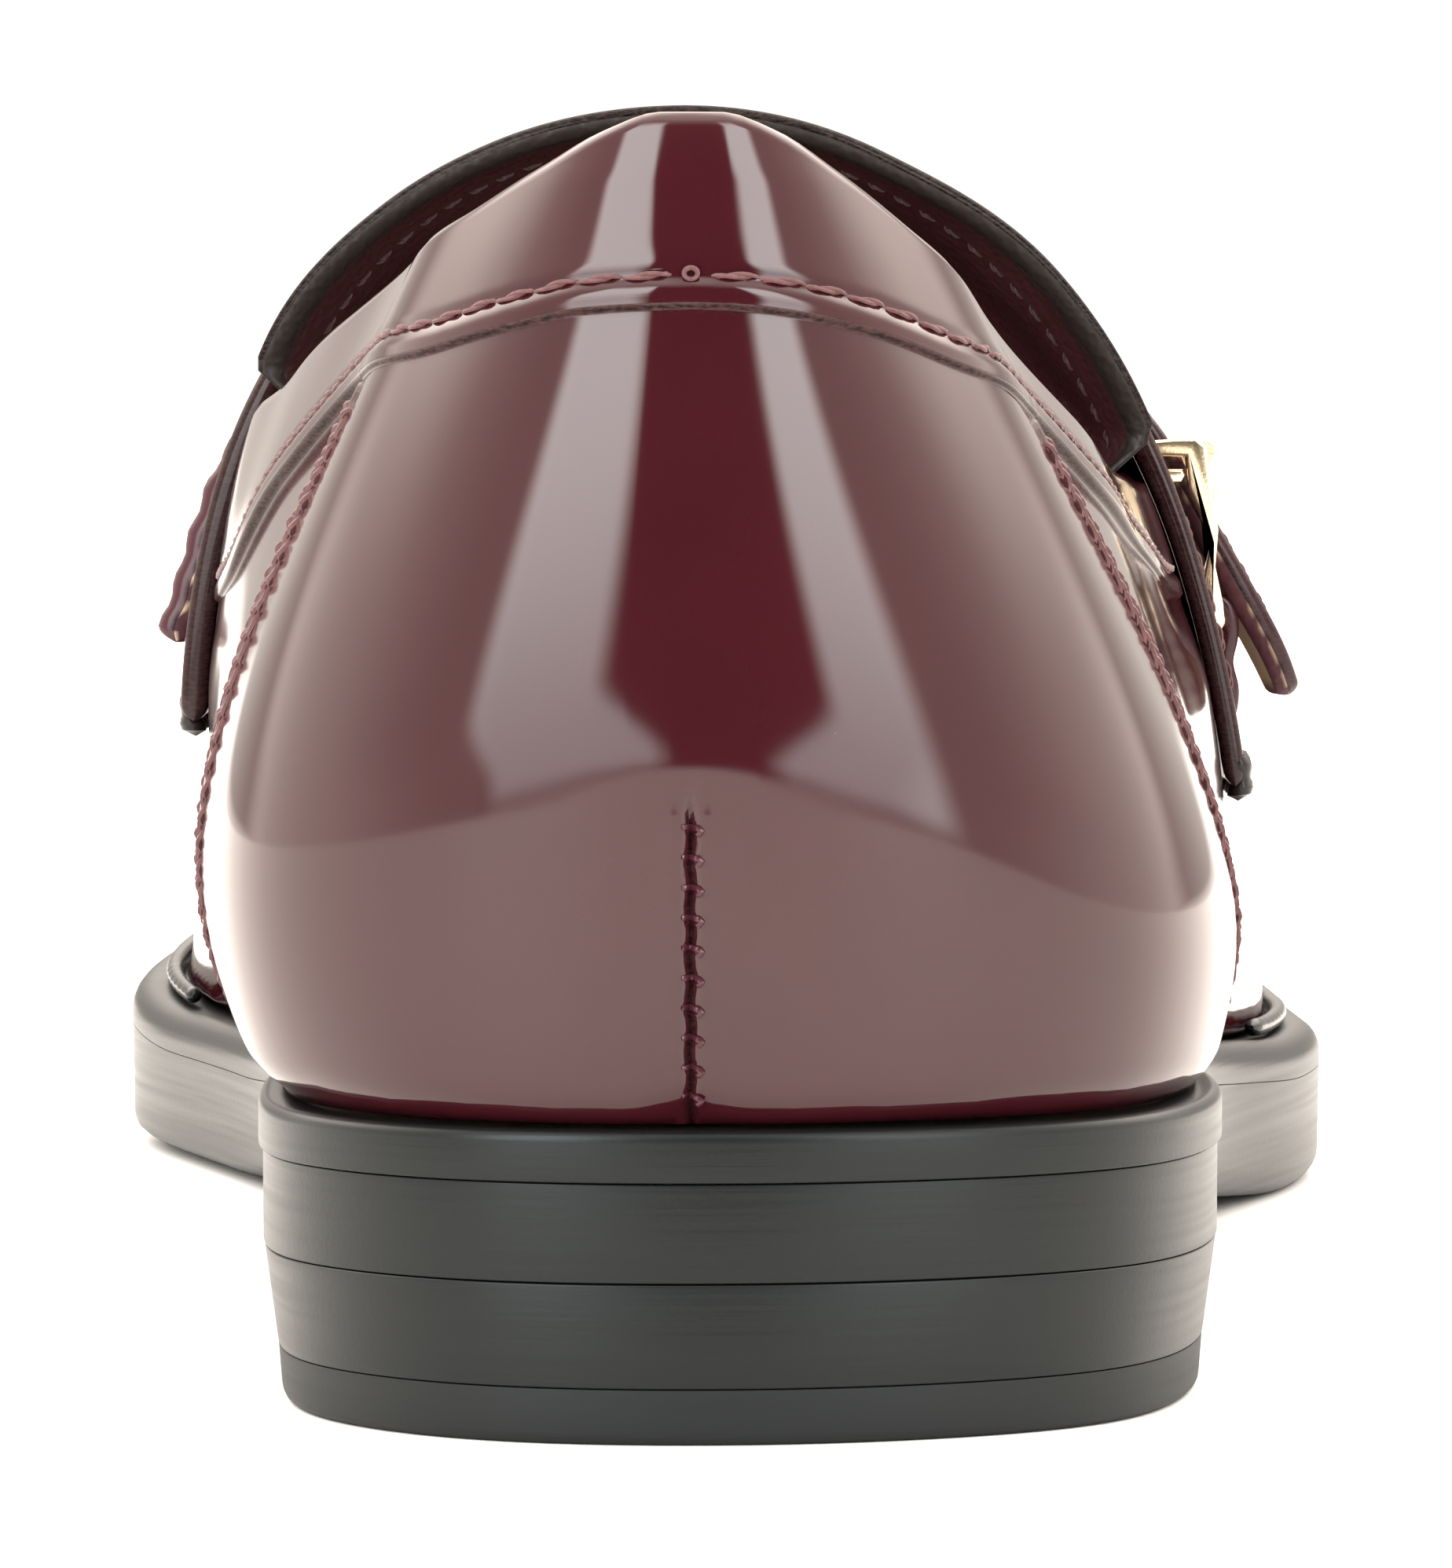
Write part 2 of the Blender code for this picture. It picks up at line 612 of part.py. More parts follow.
def make_tongue(look):
    return band_solid(
        "tongue",
        look,
        lambda q: TONGUE_EDGE + 4.0 * np.abs(q) ** 2,
        lambda q: TONGUE_FRONT + 0 * q,
        TONGUE_LOW,
        (28, 11),
        tongue_under,
        TONGUE_LEATHER,
    )


def make_saddle(look):
    return band_solid(
        "saddle",
        look,
        lambda q: SADDLE_REAR + 2.5 * (1 - np.abs(q)) ** 2,
        lambda q: SADDLE_FRONT - 4.0 * np.abs(q) ** 2,
        SADDLE_LOW,
        (28, 5),
        lambda q, s, u, v: SADDLE_GAP + 0 * s,
        SADDLE_LEATHER,
    )


# The strap, its tab and the buckle. Places are in the last's own x and z, and the tail has TAIL_STEPS.
STRAP_MIDDLE, STRAP_HALF = 130.5, 6.5
STRAP_LOW = (45.5, 61.0)
STRAP_TAIL, TAIL_STEPS = ((32.9, 58.9), (34.7, 56.2), (36.4, 53.4), (39.2, 47.9), (42.4, 41.5)), 9
STRAP_STEPS = 25
TAB_HALF, TAB_LOW, TAB_HIGH, TAB_LEATHER = 5.5, 40.0, 45.0, 1.4
SADDLE_FACE = SADDLE_GAP + SADDLE_LEATHER
CHEEK = (
    (32.8, 61.5), (36.2, 61.8), (37.2, 61.1), (37.9, 56.5), (38.8, 50.5), (39.0, 47.8), (38.6, 46.9),
    (37.8, 46.9), (37.3, 47.5), (36.9, 51.0), (36.2, 56.0), (35.2, 59.7), (32.8, 59.9),
)
CHEEK_THICK, CHEEK_GAP, BUCKLE_MIDDLE, BAR_ROOT = 1.8, 16.0, 131.4, 0.5
TOP_BAR = ((35.5, 60.3), (36.4, 61.7), (37.1, 61.0), (37.1, 59.9), (36.3, 59.6))
HEEL_BAR, HEEL_BAR_RADIUS = (37.95, 47.9), 0.8
PRONG, PRONG_RADIUS = ((37.5, 57.3), (37.1, 58.2), (36.9, 58.9)), 0.55


def in_size(profile):
    """An outline in x and z at the buckle, graded from the sample."""
    profile = np.array(profile, float)
    s = BUCKLE_MIDDLE * GRADE_LENGTH
    return np.column_stack([profile[:, 0] * GRADE_WIDTH, graded(profile[:, 1], s)])


def strap_faces(s):
    """Both faces of the strap at s, from its sewn end over the instep and down to the tip."""
    q = np.linspace(-1, 1, STRAP_STEPS)
    u, v = across(q, np.full(q.shape, s), *STRAP_LOW)
    base, out = LAST.at(u, v), LAST.normal(u, v)
    lift = SADDLE_FACE + FIT
    worn, worn_over = base + out * lift, base + out * (lift + STRAP_LEATHER)
    path = np.vstack([worn[-2:, (0, 2)], in_size(STRAP_TAIL)])
    along = np.append(0, np.cumsum(np.linalg.norm(np.diff(path, axis=0), axis=1)))
    tail = Spline(along, path).at(np.linspace(along[1], along[-1], TAIL_STEPS))
    turn = np.gradient(tail, axis=0)
    side = np.column_stack([-turn[:, 1], turn[:, 0]]) / np.linalg.norm(turn, axis=1)[:, None]
    side[0] = out[-1, (0, 2)]
    tail_over = tail + side * STRAP_LEATHER
    faces = []
    for upper_part, lower_part in ((worn, tail), (worn_over, tail_over)):
        ends = np.column_stack([lower_part[:, 0], np.full(TAIL_STEPS, upper_part[-1, 1]), lower_part[:, 1]])
        faces.append(np.vstack([upper_part, ends[1:]]))
    return faces


def make_strap(look):
    taper = np.ones(STRAP_STEPS + TAIL_STEPS - 1)
    taper[-4:] = (0.93, 0.8, 0.58, 0.2)
    rows = ([], [])
    for f in (-1.0, -0.5, 0.0, 0.5, 1.0):
        for face, points in zip(rows, strap_faces(STRAP_MIDDLE + f * STRAP_HALF)):
            points[:, 1] += f * STRAP_HALF * (taper - 1)
            face.append(points)
    return finish("strap", between(np.array(rows[0]), np.array(rows[1])), look)


def make_tab(look):
    rows = []
    heights = graded(np.linspace(TAB_LOW, TAB_HIGH, 5), STRAP_MIDDLE * GRADE_LENGTH)
    for lift in (SADDLE_FACE + FIT, SADDLE_FACE + FIT + TAB_LEATHER):
        face = []
        for s in np.linspace(STRAP_MIDDLE - TAB_HALF, STRAP_MIDDLE + TAB_HALF, 5):
            u = np.full(5, station(s, 1))
            v = LAST.level(u, heights)
            face.append(LAST.at(u, v) + LAST.normal(u, v) * lift)
        rows.append(np.array(face))
    return finish("buckle_tab", between(*rows), look)


def prism(mesh_data, profile, start, end):
    """A closed prism along the shoe over an outline in x and z."""
    loops = []
    for s in (start, end):
        corners = [place((x, s, z)) for x, z in profile]
        loops.append([mesh_data.verts.new(corner) for corner in corners])
    count = len(profile)
    for i in range(count):
        j = (i + 1) % count
        mesh_data.faces.new((loops[0][i], loops[0][j], loops[1][j], loops[1][i]))
    mesh_data.faces.new(loops[0])
    mesh_data.faces.new(list(reversed(loops[1])))


def solid_prism(name, profile, start, end):
    mesh_data = bmesh.new()
    prism(mesh_data, profile, start, end)
    bmesh.ops.recalc_face_normals(mesh_data, faces=mesh_data.faces[:])
    mesh = bpy.data.meshes.new(name)
    mesh_data.to_mesh(mesh)
    mesh_data.free()
    made = bpy.data.objects.new(name, mesh)
    bpy.context.scene.collection.objects.link(made)
    return made


def circle(centre, radius, count=12):
    turns = [2 * math.pi * k / count for k in range(count)]
    return [(centre[0] + radius * math.cos(a), centre[1] + radius * math.sin(a)) for a in turns]


def make_frame(look):
    """Two cheeks beside the strap, joined by the top bar over it and the heel bar under it."""
    middle = BUCKLE_MIDDLE * GRADE_LENGTH
    rear, front = middle - CHEEK_GAP / 2, middle + CHEEK_GAP / 2
    cheek = in_size(CHEEK)
    heel_bar = circle(in_size([HEEL_BAR])[0], HEEL_BAR_RADIUS)
    frame = solid_prism("buckle_frame", cheek, rear - CHEEK_THICK, rear)
    others = [
        (cheek, front, front + CHEEK_THICK),
        (in_size(TOP_BAR), rear - BAR_ROOT, front + BAR_ROOT),
        (heel_bar, rear - BAR_ROOT, front + BAR_ROOT),
    ]
    for index, (profile, start, end) in enumerate(others):
        other = solid_prism(f"frame_piece_{index}", profile, start, end)
        other.hide_render = True
        other.display_type = "WIRE"
        joint = frame.modifiers.new(f"join_{index}", "BOOLEAN")
        joint.operation = "UNION"
        joint.solver = "EXACT"
        joint.object = other
    frame.data.materials.append(look)
    return frame


def make_prong(look):
    """The prong's short free end, from the strap's hole to the top bar."""
    path = in_size(PRONG)
    turn = np.gradient(path, axis=0)
    out = np.column_stack([-turn[:, 1], turn[:, 0]]) / np.linalg.norm(turn, axis=1)[:, None]
    rows = []
    for k in range(9):
        angle = 2 * math.pi * k / 8
        plan = path + out * PRONG_RADIUS * math.cos(angle)
        s = np.full(len(path), STRAP_MIDDLE * GRADE_LENGTH + PRONG_RADIUS * math.sin(angle))
        rows.append(np.column_stack([plan[:, 0], s, plan[:, 1]]))
    return finish("buckle_prong", capped(np.array(rows)), look)


# The sole


WAIST_START, WAIST_END, INSOLE_GAP, SOLE_SMOOTH = 70.0, 140.0, 0.7, 30.0
# One face of a plate as functions of s: its height, how far its edge stands in, and the edge's rounding.
Face = namedtuple("Face", "height inset rounding")
# The quarter circle of a rounded edge, as shares of its radius inwards and away from the face.
ARC = ((1.0, 0.0), (0.29, 0.29), (0.0, 1.0))
# The ball's inner side, where the outsole's lower edge is rounded away further in.
BALL_START, BALL_FULL, BALL_FADE, BALL_BEVEL = 90.0, 160.0, 40.0, 1.8


def inner_ball(u):
    """1 along the ball's inner side, going to 0 at the waist and at the tip of the toe."""
    edge = LAST.controls[0].at(u)[:, 1] / GRADE_LENGTH
    waist = blend((edge - BALL_START) / (BALL_FULL - BALL_START))
    return (u < 0) * waist * blend((TOE_END.edge + TOE_AXIS - edge) / BALL_FADE)


def plate(u, under, over, bevel):
    """A closed plate over the outline between two faces, with rounded edges."""
    edge = LAST.controls[0].at(u)[:, 1]
    middle = LAST.crown(u)[:, :2]
    rows = []
    for face, wide, up in ((under, 1 + bevel * inner_ball(u), 1), (over, 1.0, -1)):
        inset, radius = face.inset(edge), face.rounding(edge)
        corner = [(LAST.outline(u, inset + radius * wide * side), radius * rise) for side, rise in ARC]
        level = [(middle + (corner[0][0] - middle) * share, 0.0) for share in (0.0, 0.6)]
        part = []
        for plan, lift in level + corner:
            part.append(np.column_stack([plan, face.height(plan[:, 1], plan[:, 0]) + up * lift]))
        rows += part if up > 0 else part[::-1]
    return np.array(rows)


def sole_columns(count_heel, count_side, count_toe):
    half = np.concatenate(
        [
            np.linspace(0, HEEL_FAN, count_heel + 1),
            np.linspace(HEEL_FAN, TOE_START, count_side + 1)[1:],
            np.linspace(TOE_START, ROUND, count_toe + 1)[1:],
        ]
    )
    return np.concatenate([-half[:0:-1], half])


def make_plate(name, look, under, over, bevel=0.0):
    mesh_data = bmesh.new()
    grid(mesh_data, plate(sole_columns(8, 15, 9), under, over, bevel))
    return finish(name, mesh_data, look, smooth=SOLE_SMOOTH)


def fixed(value):
    """A size that is the same all along the shoe."""
    return lambda s: np.full(np.shape(s), value)


def towards_ball(heel, ball):
    """A size that goes from its value at the heel to its value at the ball."""
    return lambda s: heel + (ball - heel) * blend((s - WAIST_START) / (WAIST_END - WAIST_START))


def off_top(distance):
    """A height that keeps a distance from the sole's top."""
    return lambda s, x: sole_top(s) + distance


def make_welt(look):
    under = Face(off_top(-WELT_THICK), fixed(0.0), fixed(0.25))
    over = Face(off_top(0.0), fixed(0.0), towards_ball(0.9, 2.3))
    return make_plate("welt", look, under, over)


def make_outsole(look):
    under = Face(sole_under, towards_ball(0.3, 0.15), towards_ball(0.4, 2.2))
    over = Face(off_top(-WELT_THICK - FIT), towards_ball(0.3, 0.05), fixed(0.25))
    return make_plate("outsole", look, under, over, bevel=BALL_BEVEL)


def insole_inset(s):
    return ledge(s) + LEATHER + FIT + INSOLE_GAP


def make_insole(look):
    under = Face(off_top(FIT), insole_inset, fixed(0.4))
    over = Face(off_top(FIT + INSOLE_THICK), insole_inset, fixed(0.4))
    return make_plate("insole", look, under, over)


# A heel layer's sides stand in by side_low at its foot and side_high at its top; its back by HEEL_BACK.
Layer = namedtuple("Layer", "side_low side_high soften")
BLOCK, TOP_PIECE = Layer(1.2, 0.6, 0.2), Layer(1.5, 1.3, 0.6)
HEEL_BACK, BREAST_TURN, SOFT_TURN = 0.15, 3.0, 0.3


def heel_outline(inset_side, inset_back, breast):
    """The heel's outline in plan, from the inner breast corner round the back to the outer one."""
    side = station(HEEL_BREAST - BREAST_TURN, 1)
    straight = np.linspace(HEEL_FAN, side, 6)[1:]
    u = np.concatenate([np.linspace(0, HEEL_FAN, 11), straight, [side + BREAST_TURN]])
    u = np.concatenate([-u[:0:-1], u])
    edge = LAST.outline(u)
    out = edge - LAST.crown(u)[:, :2]
    out /= np.linalg.norm(out, axis=1)[:, None]
    plan = edge - out * (inset_side, inset_back)
    plan[(0, -1), 1] = breast
    return plan


def make_heel_layer(name, look, low, high, layer):
    """A layer of the heel. It narrows downwards at the sides and stands upright at the back."""
    breast = HEEL_BREAST * GRADE_LENGTH
    turn = SOFT_TURN * layer.soften
    levels = (
        (low, layer.side_low, layer.soften),
        (low + turn, layer.side_low, turn),
        (low + layer.soften, layer.side_low, 0.0),
        (high, layer.side_high, 0.0),
    )
    loops = []
    for z, inset, softened in levels:
        plan = heel_outline(inset + softened, HEEL_BACK + softened, breast - softened)
        loops.append(np.column_stack([plan, np.full(len(plan), z)]))
    rows = [np.vstack([loop, loop[:1]]) for loop in loops]
    return finish(name, capped(np.array(rows)), look, smooth=SOLE_SMOOTH)


def capped(rows):
    """A closed tube through rows of points, with its ends filled."""
    mesh_data = bmesh.new()
    grid(mesh_data, rows)
    bmesh.ops.remove_doubles(mesh_data, verts=mesh_data.verts[:], dist=WELD * MM)
    bmesh.ops.holes_fill(mesh_data, edges=[edge for edge in mesh_data.edges if edge.is_boundary])
    return mesh_data


def make_bead(look):
    """A round bead on the welt along the upper, from one side of the waist round the toe to the other."""
    start = station(BEAD_START, 1)
    u = np.concatenate([np.linspace(start, TOE_START, 8), np.linspace(TOE_START, ROUND, 12)[1:]])
    u = np.concatenate([u, 2 * ROUND - u[-2::-1]])
    foot = LAST.feather(u)
    wall_line = LAST.at(u, LAST.level(u, foot[:, 2] + BEAD_RADIUS))[:, :2]
    out = np.gradient(wall_line, axis=0)
    out = np.column_stack([out[:, 1], -out[:, 0]]) / np.linalg.norm(out, axis=1)[:, None]
    centre = wall_line + out * (BEAD_RADIUS + BEAD_GAP)
    height = sole_top(centre[:, 1]) + FIT + BEAD_RADIUS
    rows = []
    for k in range(9):
        angle = 2 * math.pi * k / 8
        plan = centre + out * BEAD_RADIUS * math.cos(angle)
        rows.append(np.column_stack([plan, height + BEAD_RADIUS * math.sin(angle)]))
    return finish("welt_bead", capped(np.array(rows)), look)


def main():
    for old in list(bpy.data.objects):
        bpy.data.objects.remove(old)
    burgundy = material("burgundy_leather", (0.075, 0.012, 0.018), 0.18)
    lining = material("lining_leather", (0.055, 0.012, 0.014), 0.55)
    footbed = material("footbed_leather", (0.42, 0.27, 0.16), 0.6)
    rubber = material("black_rubber", (0.03, 0.03, 0.028), 0.5)
    edge_black = material("black_welt", (0.035, 0.035, 0.032), 0.4)
    strap_plum = material("strap_leather", (0.06, 0.02, 0.03), 0.25)
    gold = material("pale_gold", (0.75, 0.6, 0.38), 0.25, 1.0)
    make_upper(burgundy)
    make_tongue(lining)
    make_insole(footbed)
    make_welt(edge_black)
    make_bead(edge_black)
    make_outsole(rubber)
    block_top = float(sole_under(0.0)) - FIT
    make_heel_layer("heel_block", edge_black, TOP_PIECE_THICK + FIT, block_top, BLOCK)
    make_heel_layer("heel_top_piece", rubber, 0.0, TOP_PIECE_THICK, TOP_PIECE)
    make_saddle(burgundy)
    make_strap(strap_plum)
    make_tab(burgundy)
    make_frame(gold)
    make_prong(gold)


main()
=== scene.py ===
"""Dresses the buckle loafer: leather upper, seams, tongue, saddle, strap, buckle, sole, heel and stage."""

import math
from collections import namedtuple

import bmesh
import bpy
import numpy as np
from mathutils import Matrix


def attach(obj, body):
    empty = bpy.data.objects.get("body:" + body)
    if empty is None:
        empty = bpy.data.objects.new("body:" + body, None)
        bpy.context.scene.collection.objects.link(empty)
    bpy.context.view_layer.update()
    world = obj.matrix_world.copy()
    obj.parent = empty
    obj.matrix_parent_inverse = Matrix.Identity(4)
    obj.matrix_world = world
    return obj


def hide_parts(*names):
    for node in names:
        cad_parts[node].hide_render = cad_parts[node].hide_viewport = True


bl_info = {
    "name": "Buckle loafer",
    "version": (1, 0, 0),
    "blender": (4, 5, 0),
    "location": "3D View > Sidebar > Loafer",
    "description": "Builds the leather, stitching, buckle and sole of a buckle loafer on its packed solids",
    "category": "Object",
}

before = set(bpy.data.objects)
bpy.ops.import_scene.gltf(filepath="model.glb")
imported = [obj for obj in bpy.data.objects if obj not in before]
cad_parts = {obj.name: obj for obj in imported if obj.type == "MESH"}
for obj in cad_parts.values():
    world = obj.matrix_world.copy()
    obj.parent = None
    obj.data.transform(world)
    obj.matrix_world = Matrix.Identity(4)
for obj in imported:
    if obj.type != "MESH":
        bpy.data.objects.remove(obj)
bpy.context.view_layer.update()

MM = 0.001

# Millimetres. The middle of the shoe's box becomes the origin.
MIDDLE_X, MIDDLE_Y = -0.95, 135.65

LEATHER = 2.0
FIT = 0.3
COLLAR_BAND = 0.9
COUNTER = 0.5
SEAM_RIDGE = 1.2
SADDLE_LEATHER, SADDLE_GAP = 2.1, 0.35
STRAP_LEATHER = 2.2
TONGUE_LEATHER = 1.7

WELT_THICK = 3.3
TOP_PIECE_THICK = 3.5
INSOLE_THICK = 3.0
HEEL_BREAST = 62.0
WELD = 0.01

# Sections across the last. s runs from the heel's back towards the toe; the rest are distances from the
# section's own axis x to the inner (medial) and outer (lateral) side, with the height where each lies.
# bulge is the widest place, flank and shoulder are the handles of the curve from there to the crown.
Section = namedtuple(
    "Section",
    "s x edge_in edge_out bulge_in bulge_out bulge_z_in bulge_z_out"
    " flank_in flank_out flank_z_in flank_z_out shoulder_in shoulder_out shoulder_z crown_z",
)
SECTIONS = (
    Section(29, -2.2, 28.4, 34.4, 31.0, 34.0, 36, 34, 30.0, 30.0, 52, 50, 8.0, 6.0, 96.0, 100.0),
    Section(50, -2.4, 28.5, 35.0, 32.8, 36.1, 35, 32, 32.5, 33.2, 52, 49, 16.5, 13.5, 94.0, 96.0),
    Section(75, -2.6, 27.6, 34.5, 33.6, 37.4, 35, 31, 35.0, 34.8, 58, 54, 22.0, 19.0, 90.5, 92.0),
    Section(110, -3.0, 27.9, 37.6, 35.4, 40.5, 35, 31, 37.2, 38.2, 69, 67, 22.2, 21.2, 85.4, 85.4),
    Section(140, -2.6, 31.6, 41.2, 36.8, 41.0, 31, 30, 35.5, 37.0, 52, 53, 20.0, 21.5, 74.2, 74.0),
    Section(165, -1.8, 36.6, 47.8, 39.4, 43.8, 26, 25, 38.6, 40.6, 48, 47, 27.0, 29.5, 63.7, 63.5),
    Section(190, -2.0, 43.6, 51.7, 41.2, 46.4, 22, 21, 40.6, 43.0, 41, 40, 29.5, 31.0, 55.3, 55.0),
    Section(214, -3.5, 48.0, 50.9, 42.6, 46.6, 20, 21, 42.4, 45.0, 37, 38, 30.5, 31.5, 49.7, 49.7),
)
HEEL_AXIS, TOE_AXIS = SECTIONS[0].s, SECTIONS[-1].s

# The back of the heel and the tip of the toe: the same distances, taken along the shoe from the end axes.
End = namedtuple("End", "edge bulge bulge_z flank flank_z shoulder shoulder_z roundness")
HEEL_END = End(29.0, 30.2, 37, 31.0, 66, 22.0, 100.0, 2.1)
TOE_END = End(59.0, 55.3, 25, 54.6, 38, 33.0, 42.9, 2.15)
FAN_ANGLES = (30, 60, 90)

# Height of the sole's top, of the outsole's underside and the ledge between sole edge and upper, along s.
SoleRow = namedtuple("SoleRow", "s top under ledge")
SOLE = (
    SoleRow(0, 19.7, 10.1, 1.2),
    SoleRow(60, 19.7, 10.1, 1.2),
    SoleRow(80, 18.9, 9.2, 1.6),
    SoleRow(105, 17.1, 6.8, 2.2),
    SoleRow(130, 15.1, 3.6, 3.0),
    SoleRow(152, 13.5, 1.1, 3.8),
    SoleRow(170, 12.6, 0.0, 4.3),
    SoleRow(192, 12.6, 0.0, 4.5),
    SoleRow(214, 13.8, 1.2, 4.5),
    SoleRow(234, 16.0, 3.4, 4.4),
    SoleRow(255, 19.0, 6.4, 4.3),
    SoleRow(275, 22.4, 9.8, 4.3),
)

# Lines drawn on the upper, as heights along the way round it: u is 0 at the heel's back and runs along the
# outline, so that the inner and the outer side each have a row of their own.
# topline is the mouth's edge. line is the collar band's lower edge behind the saddle and the apron seam
# in front of it.
Line = namedtuple("Line", "u topline_in topline_out line_in line_out")
LINES = (
    Line(0, 83.2, 83.2, 70.9, 70.9),
    Line(3, 83.2, 83.2, 70.8, 70.8),
    Line(8, 82.1, 82.1, 70.5, 70.3),
    Line(14, 79.9, 79.6, 69.5, 69.2),
    Line(24, 76.9, 75.7, 67.8, 66.9),
    Line(36, 75.2, 72.9, 67.0, 65.4),
    Line(47, 74.2, 70.2, 66.1, 64.0),
    Line(68, 70.1, 64.4, 59.8, 58.6),
    Line(93, 66.2, 60.4, 52.2, 54.4),
    Line(112, 64.9, 59.5, 50.4, 51.6),
    Line(130, 64.2, 59.2, 49.8, 50.2),
    Line(137, 64.8, 60.0, 49.6, 49.6),
    Line(142, 68.0, 64.5, 49.4, 49.0),
    Line(148, 74.0, 72.5, 49.0, 48.2),
    Line(155, 90.0, 90.0, 48.0, 47.0),
    Line(183, 120.0, 120.0, 44.0, 42.8),
    Line(232, 120.0, 120.0, 38.4, 38.2),
    Line(310, 120.0, 120.0, 36.6, 36.6),
)
# The sole touches the ground from here on, and its edge there turns aslant on the inner side.
TREAD_TURN, TREAD_SLANT = -5.0, 0.3
# The counter's side seam slants from the collar band down to the sole. Stations beyond COUNTER_STILL stay.
COUNTER_TOP, COUNTER_FOOT, COUNTER_SWEEP, COUNTER_STILL = 45.0, 73.0, 0.62, 112.0
# How far round the collar band ends and the apron seam starts, under the saddle.
BAND_END, SEAM_START, SEAM_RISE = 128.0, 172.0, 3.0


class Spline:
    """A smooth curve through rows of numbers: natural at its ends, or closed where a period is given."""

    def __init__(self, stops, values, period=None):
        stops = np.asarray(stops, float)
        values = np.asarray(values, float).reshape(len(stops), -1)
        if period:
            stops = np.append(stops, stops[0] + period)
            values = np.vstack([values, values[:1]])
        self.stops, self.values, self.period = stops, values, period
        count = len(stops)
        gaps = np.diff(stops)
        slopes = np.diff(values, axis=0) / gaps[:, None]
        matrix = np.eye(count)
        right = np.zeros_like(values)
        for i in range(1, count - 1):
            matrix[i, i - 1 : i + 2] = gaps[i - 1], 2 * (gaps[i - 1] + gaps[i]), gaps[i]
            right[i] = 6 * (slopes[i] - slopes[i - 1])
        if period:
            matrix[0] = 0
            matrix[0, 0], matrix[0, 1], matrix[0, -2] = 2 * (gaps[0] + gaps[-1]), gaps[0], gaps[-1]
            right[0] = 6 * (slopes[0] - slopes[-1])
            matrix[-1, 0] = -1
        self.bends = np.linalg.solve(matrix, right)

    def at(self, places):
        """The values at each place, one row a place."""
        places = np.atleast_1d(np.asarray(places, float))
        if self.period:
            places = self.stops[0] + (places - self.stops[0]) % self.period
        places = np.clip(places, self.stops[0], self.stops[-1])
        index = np.clip(np.searchsorted(self.stops, places, side="right") - 1, 0, len(self.stops) - 2)
        low, high = self.stops[index], self.stops[index + 1]
        gap = high - low
        a, b = ((high - places) / gap)[:, None], ((places - low) / gap)[:, None]
        bend = ((a**3 - a) * self.bends[index] + (b**3 - b) * self.bends[index + 1]) * gap[:, None] ** 2 / 6
        return a * self.values[index] + b * self.values[index + 1] + bend


def steady(stops, values, places):
    """A curve through the values that never overshoots them: flat rows stay flat."""
    stops, values = np.asarray(stops, float), np.asarray(values, float)
    gaps, slopes = np.diff(stops), np.diff(values) / np.diff(stops)
    tangents = np.zeros(len(stops))
    for i in range(1, len(stops) - 1):
        if slopes[i - 1] * slopes[i] > 0:
            tangents[i] = 2 / (1 / slopes[i - 1] + 1 / slopes[i])
    tangents[0], tangents[-1] = slopes[0], slopes[-1]
    places = np.clip(np.asarray(places, float), stops[0], stops[-1])
    index = np.clip(np.searchsorted(stops, places, side="right") - 1, 0, len(stops) - 2)
    gap = gaps[index]
    t = (places - stops[index]) / gap
    return (
        values[index] * (1 + 2 * t) * (1 - t) ** 2
        + values[index + 1] * t * t * (3 - 2 * t)
        + tangents[index] * gap * t * (1 - t) ** 2
        - tangents[index + 1] * gap * t * t * (1 - t)
    )


def blend(x):
    """Goes smoothly from 0 to 1 as x does."""
    x = np.clip(x, 0, 1)
    return x * x * (3 - 2 * x)


def sole_row(name, s):
    return steady([row.s for row in SOLE], [getattr(row, name) for row in SOLE], s)


def sole_top(s):
    return sole_row("top", s)


def sole_under(s, x=0.0):
    """The underside. The tread line runs aslant: on the inner side it touches down further forward."""
    aslant = TREAD_SLANT * np.minimum(x - TREAD_TURN, 0.0)
    return sole_row("under", s + aslant)


def ledge(s):
    return sole_row("ledge", s)


# Where the handles lie on the curve from feather edge to bulge: by share of the way, and of its height.
FOOT_HANDLE, BULGE_HANDLE = np.array((0.62, 0.62, 0.22)), 0.42
# Near the crown line the surface's direction is the crown line's own; it is measured over steps this long.
V_CROWN, V_STEP = 1.985, 0.025

# How far round the outline each station lies: a fan about the heel axis, the sections, a fan about the toe.
HEEL_FAN = math.pi / 2 * 30.0
TOE_FAN = math.pi / 2 * 50.0
TOE_START = HEEL_FAN + TOE_AXIS - HEEL_AXIS
ROUND = TOE_START + TOE_FAN


def superellipse(angle, across, along, power):
    """The distance from an end axis to its curve, at an angle from straight across."""
    c, s = abs(math.cos(angle)), abs(math.sin(angle))
    return ((c / across) ** power + (s / along) ** power) ** (-1 / power)


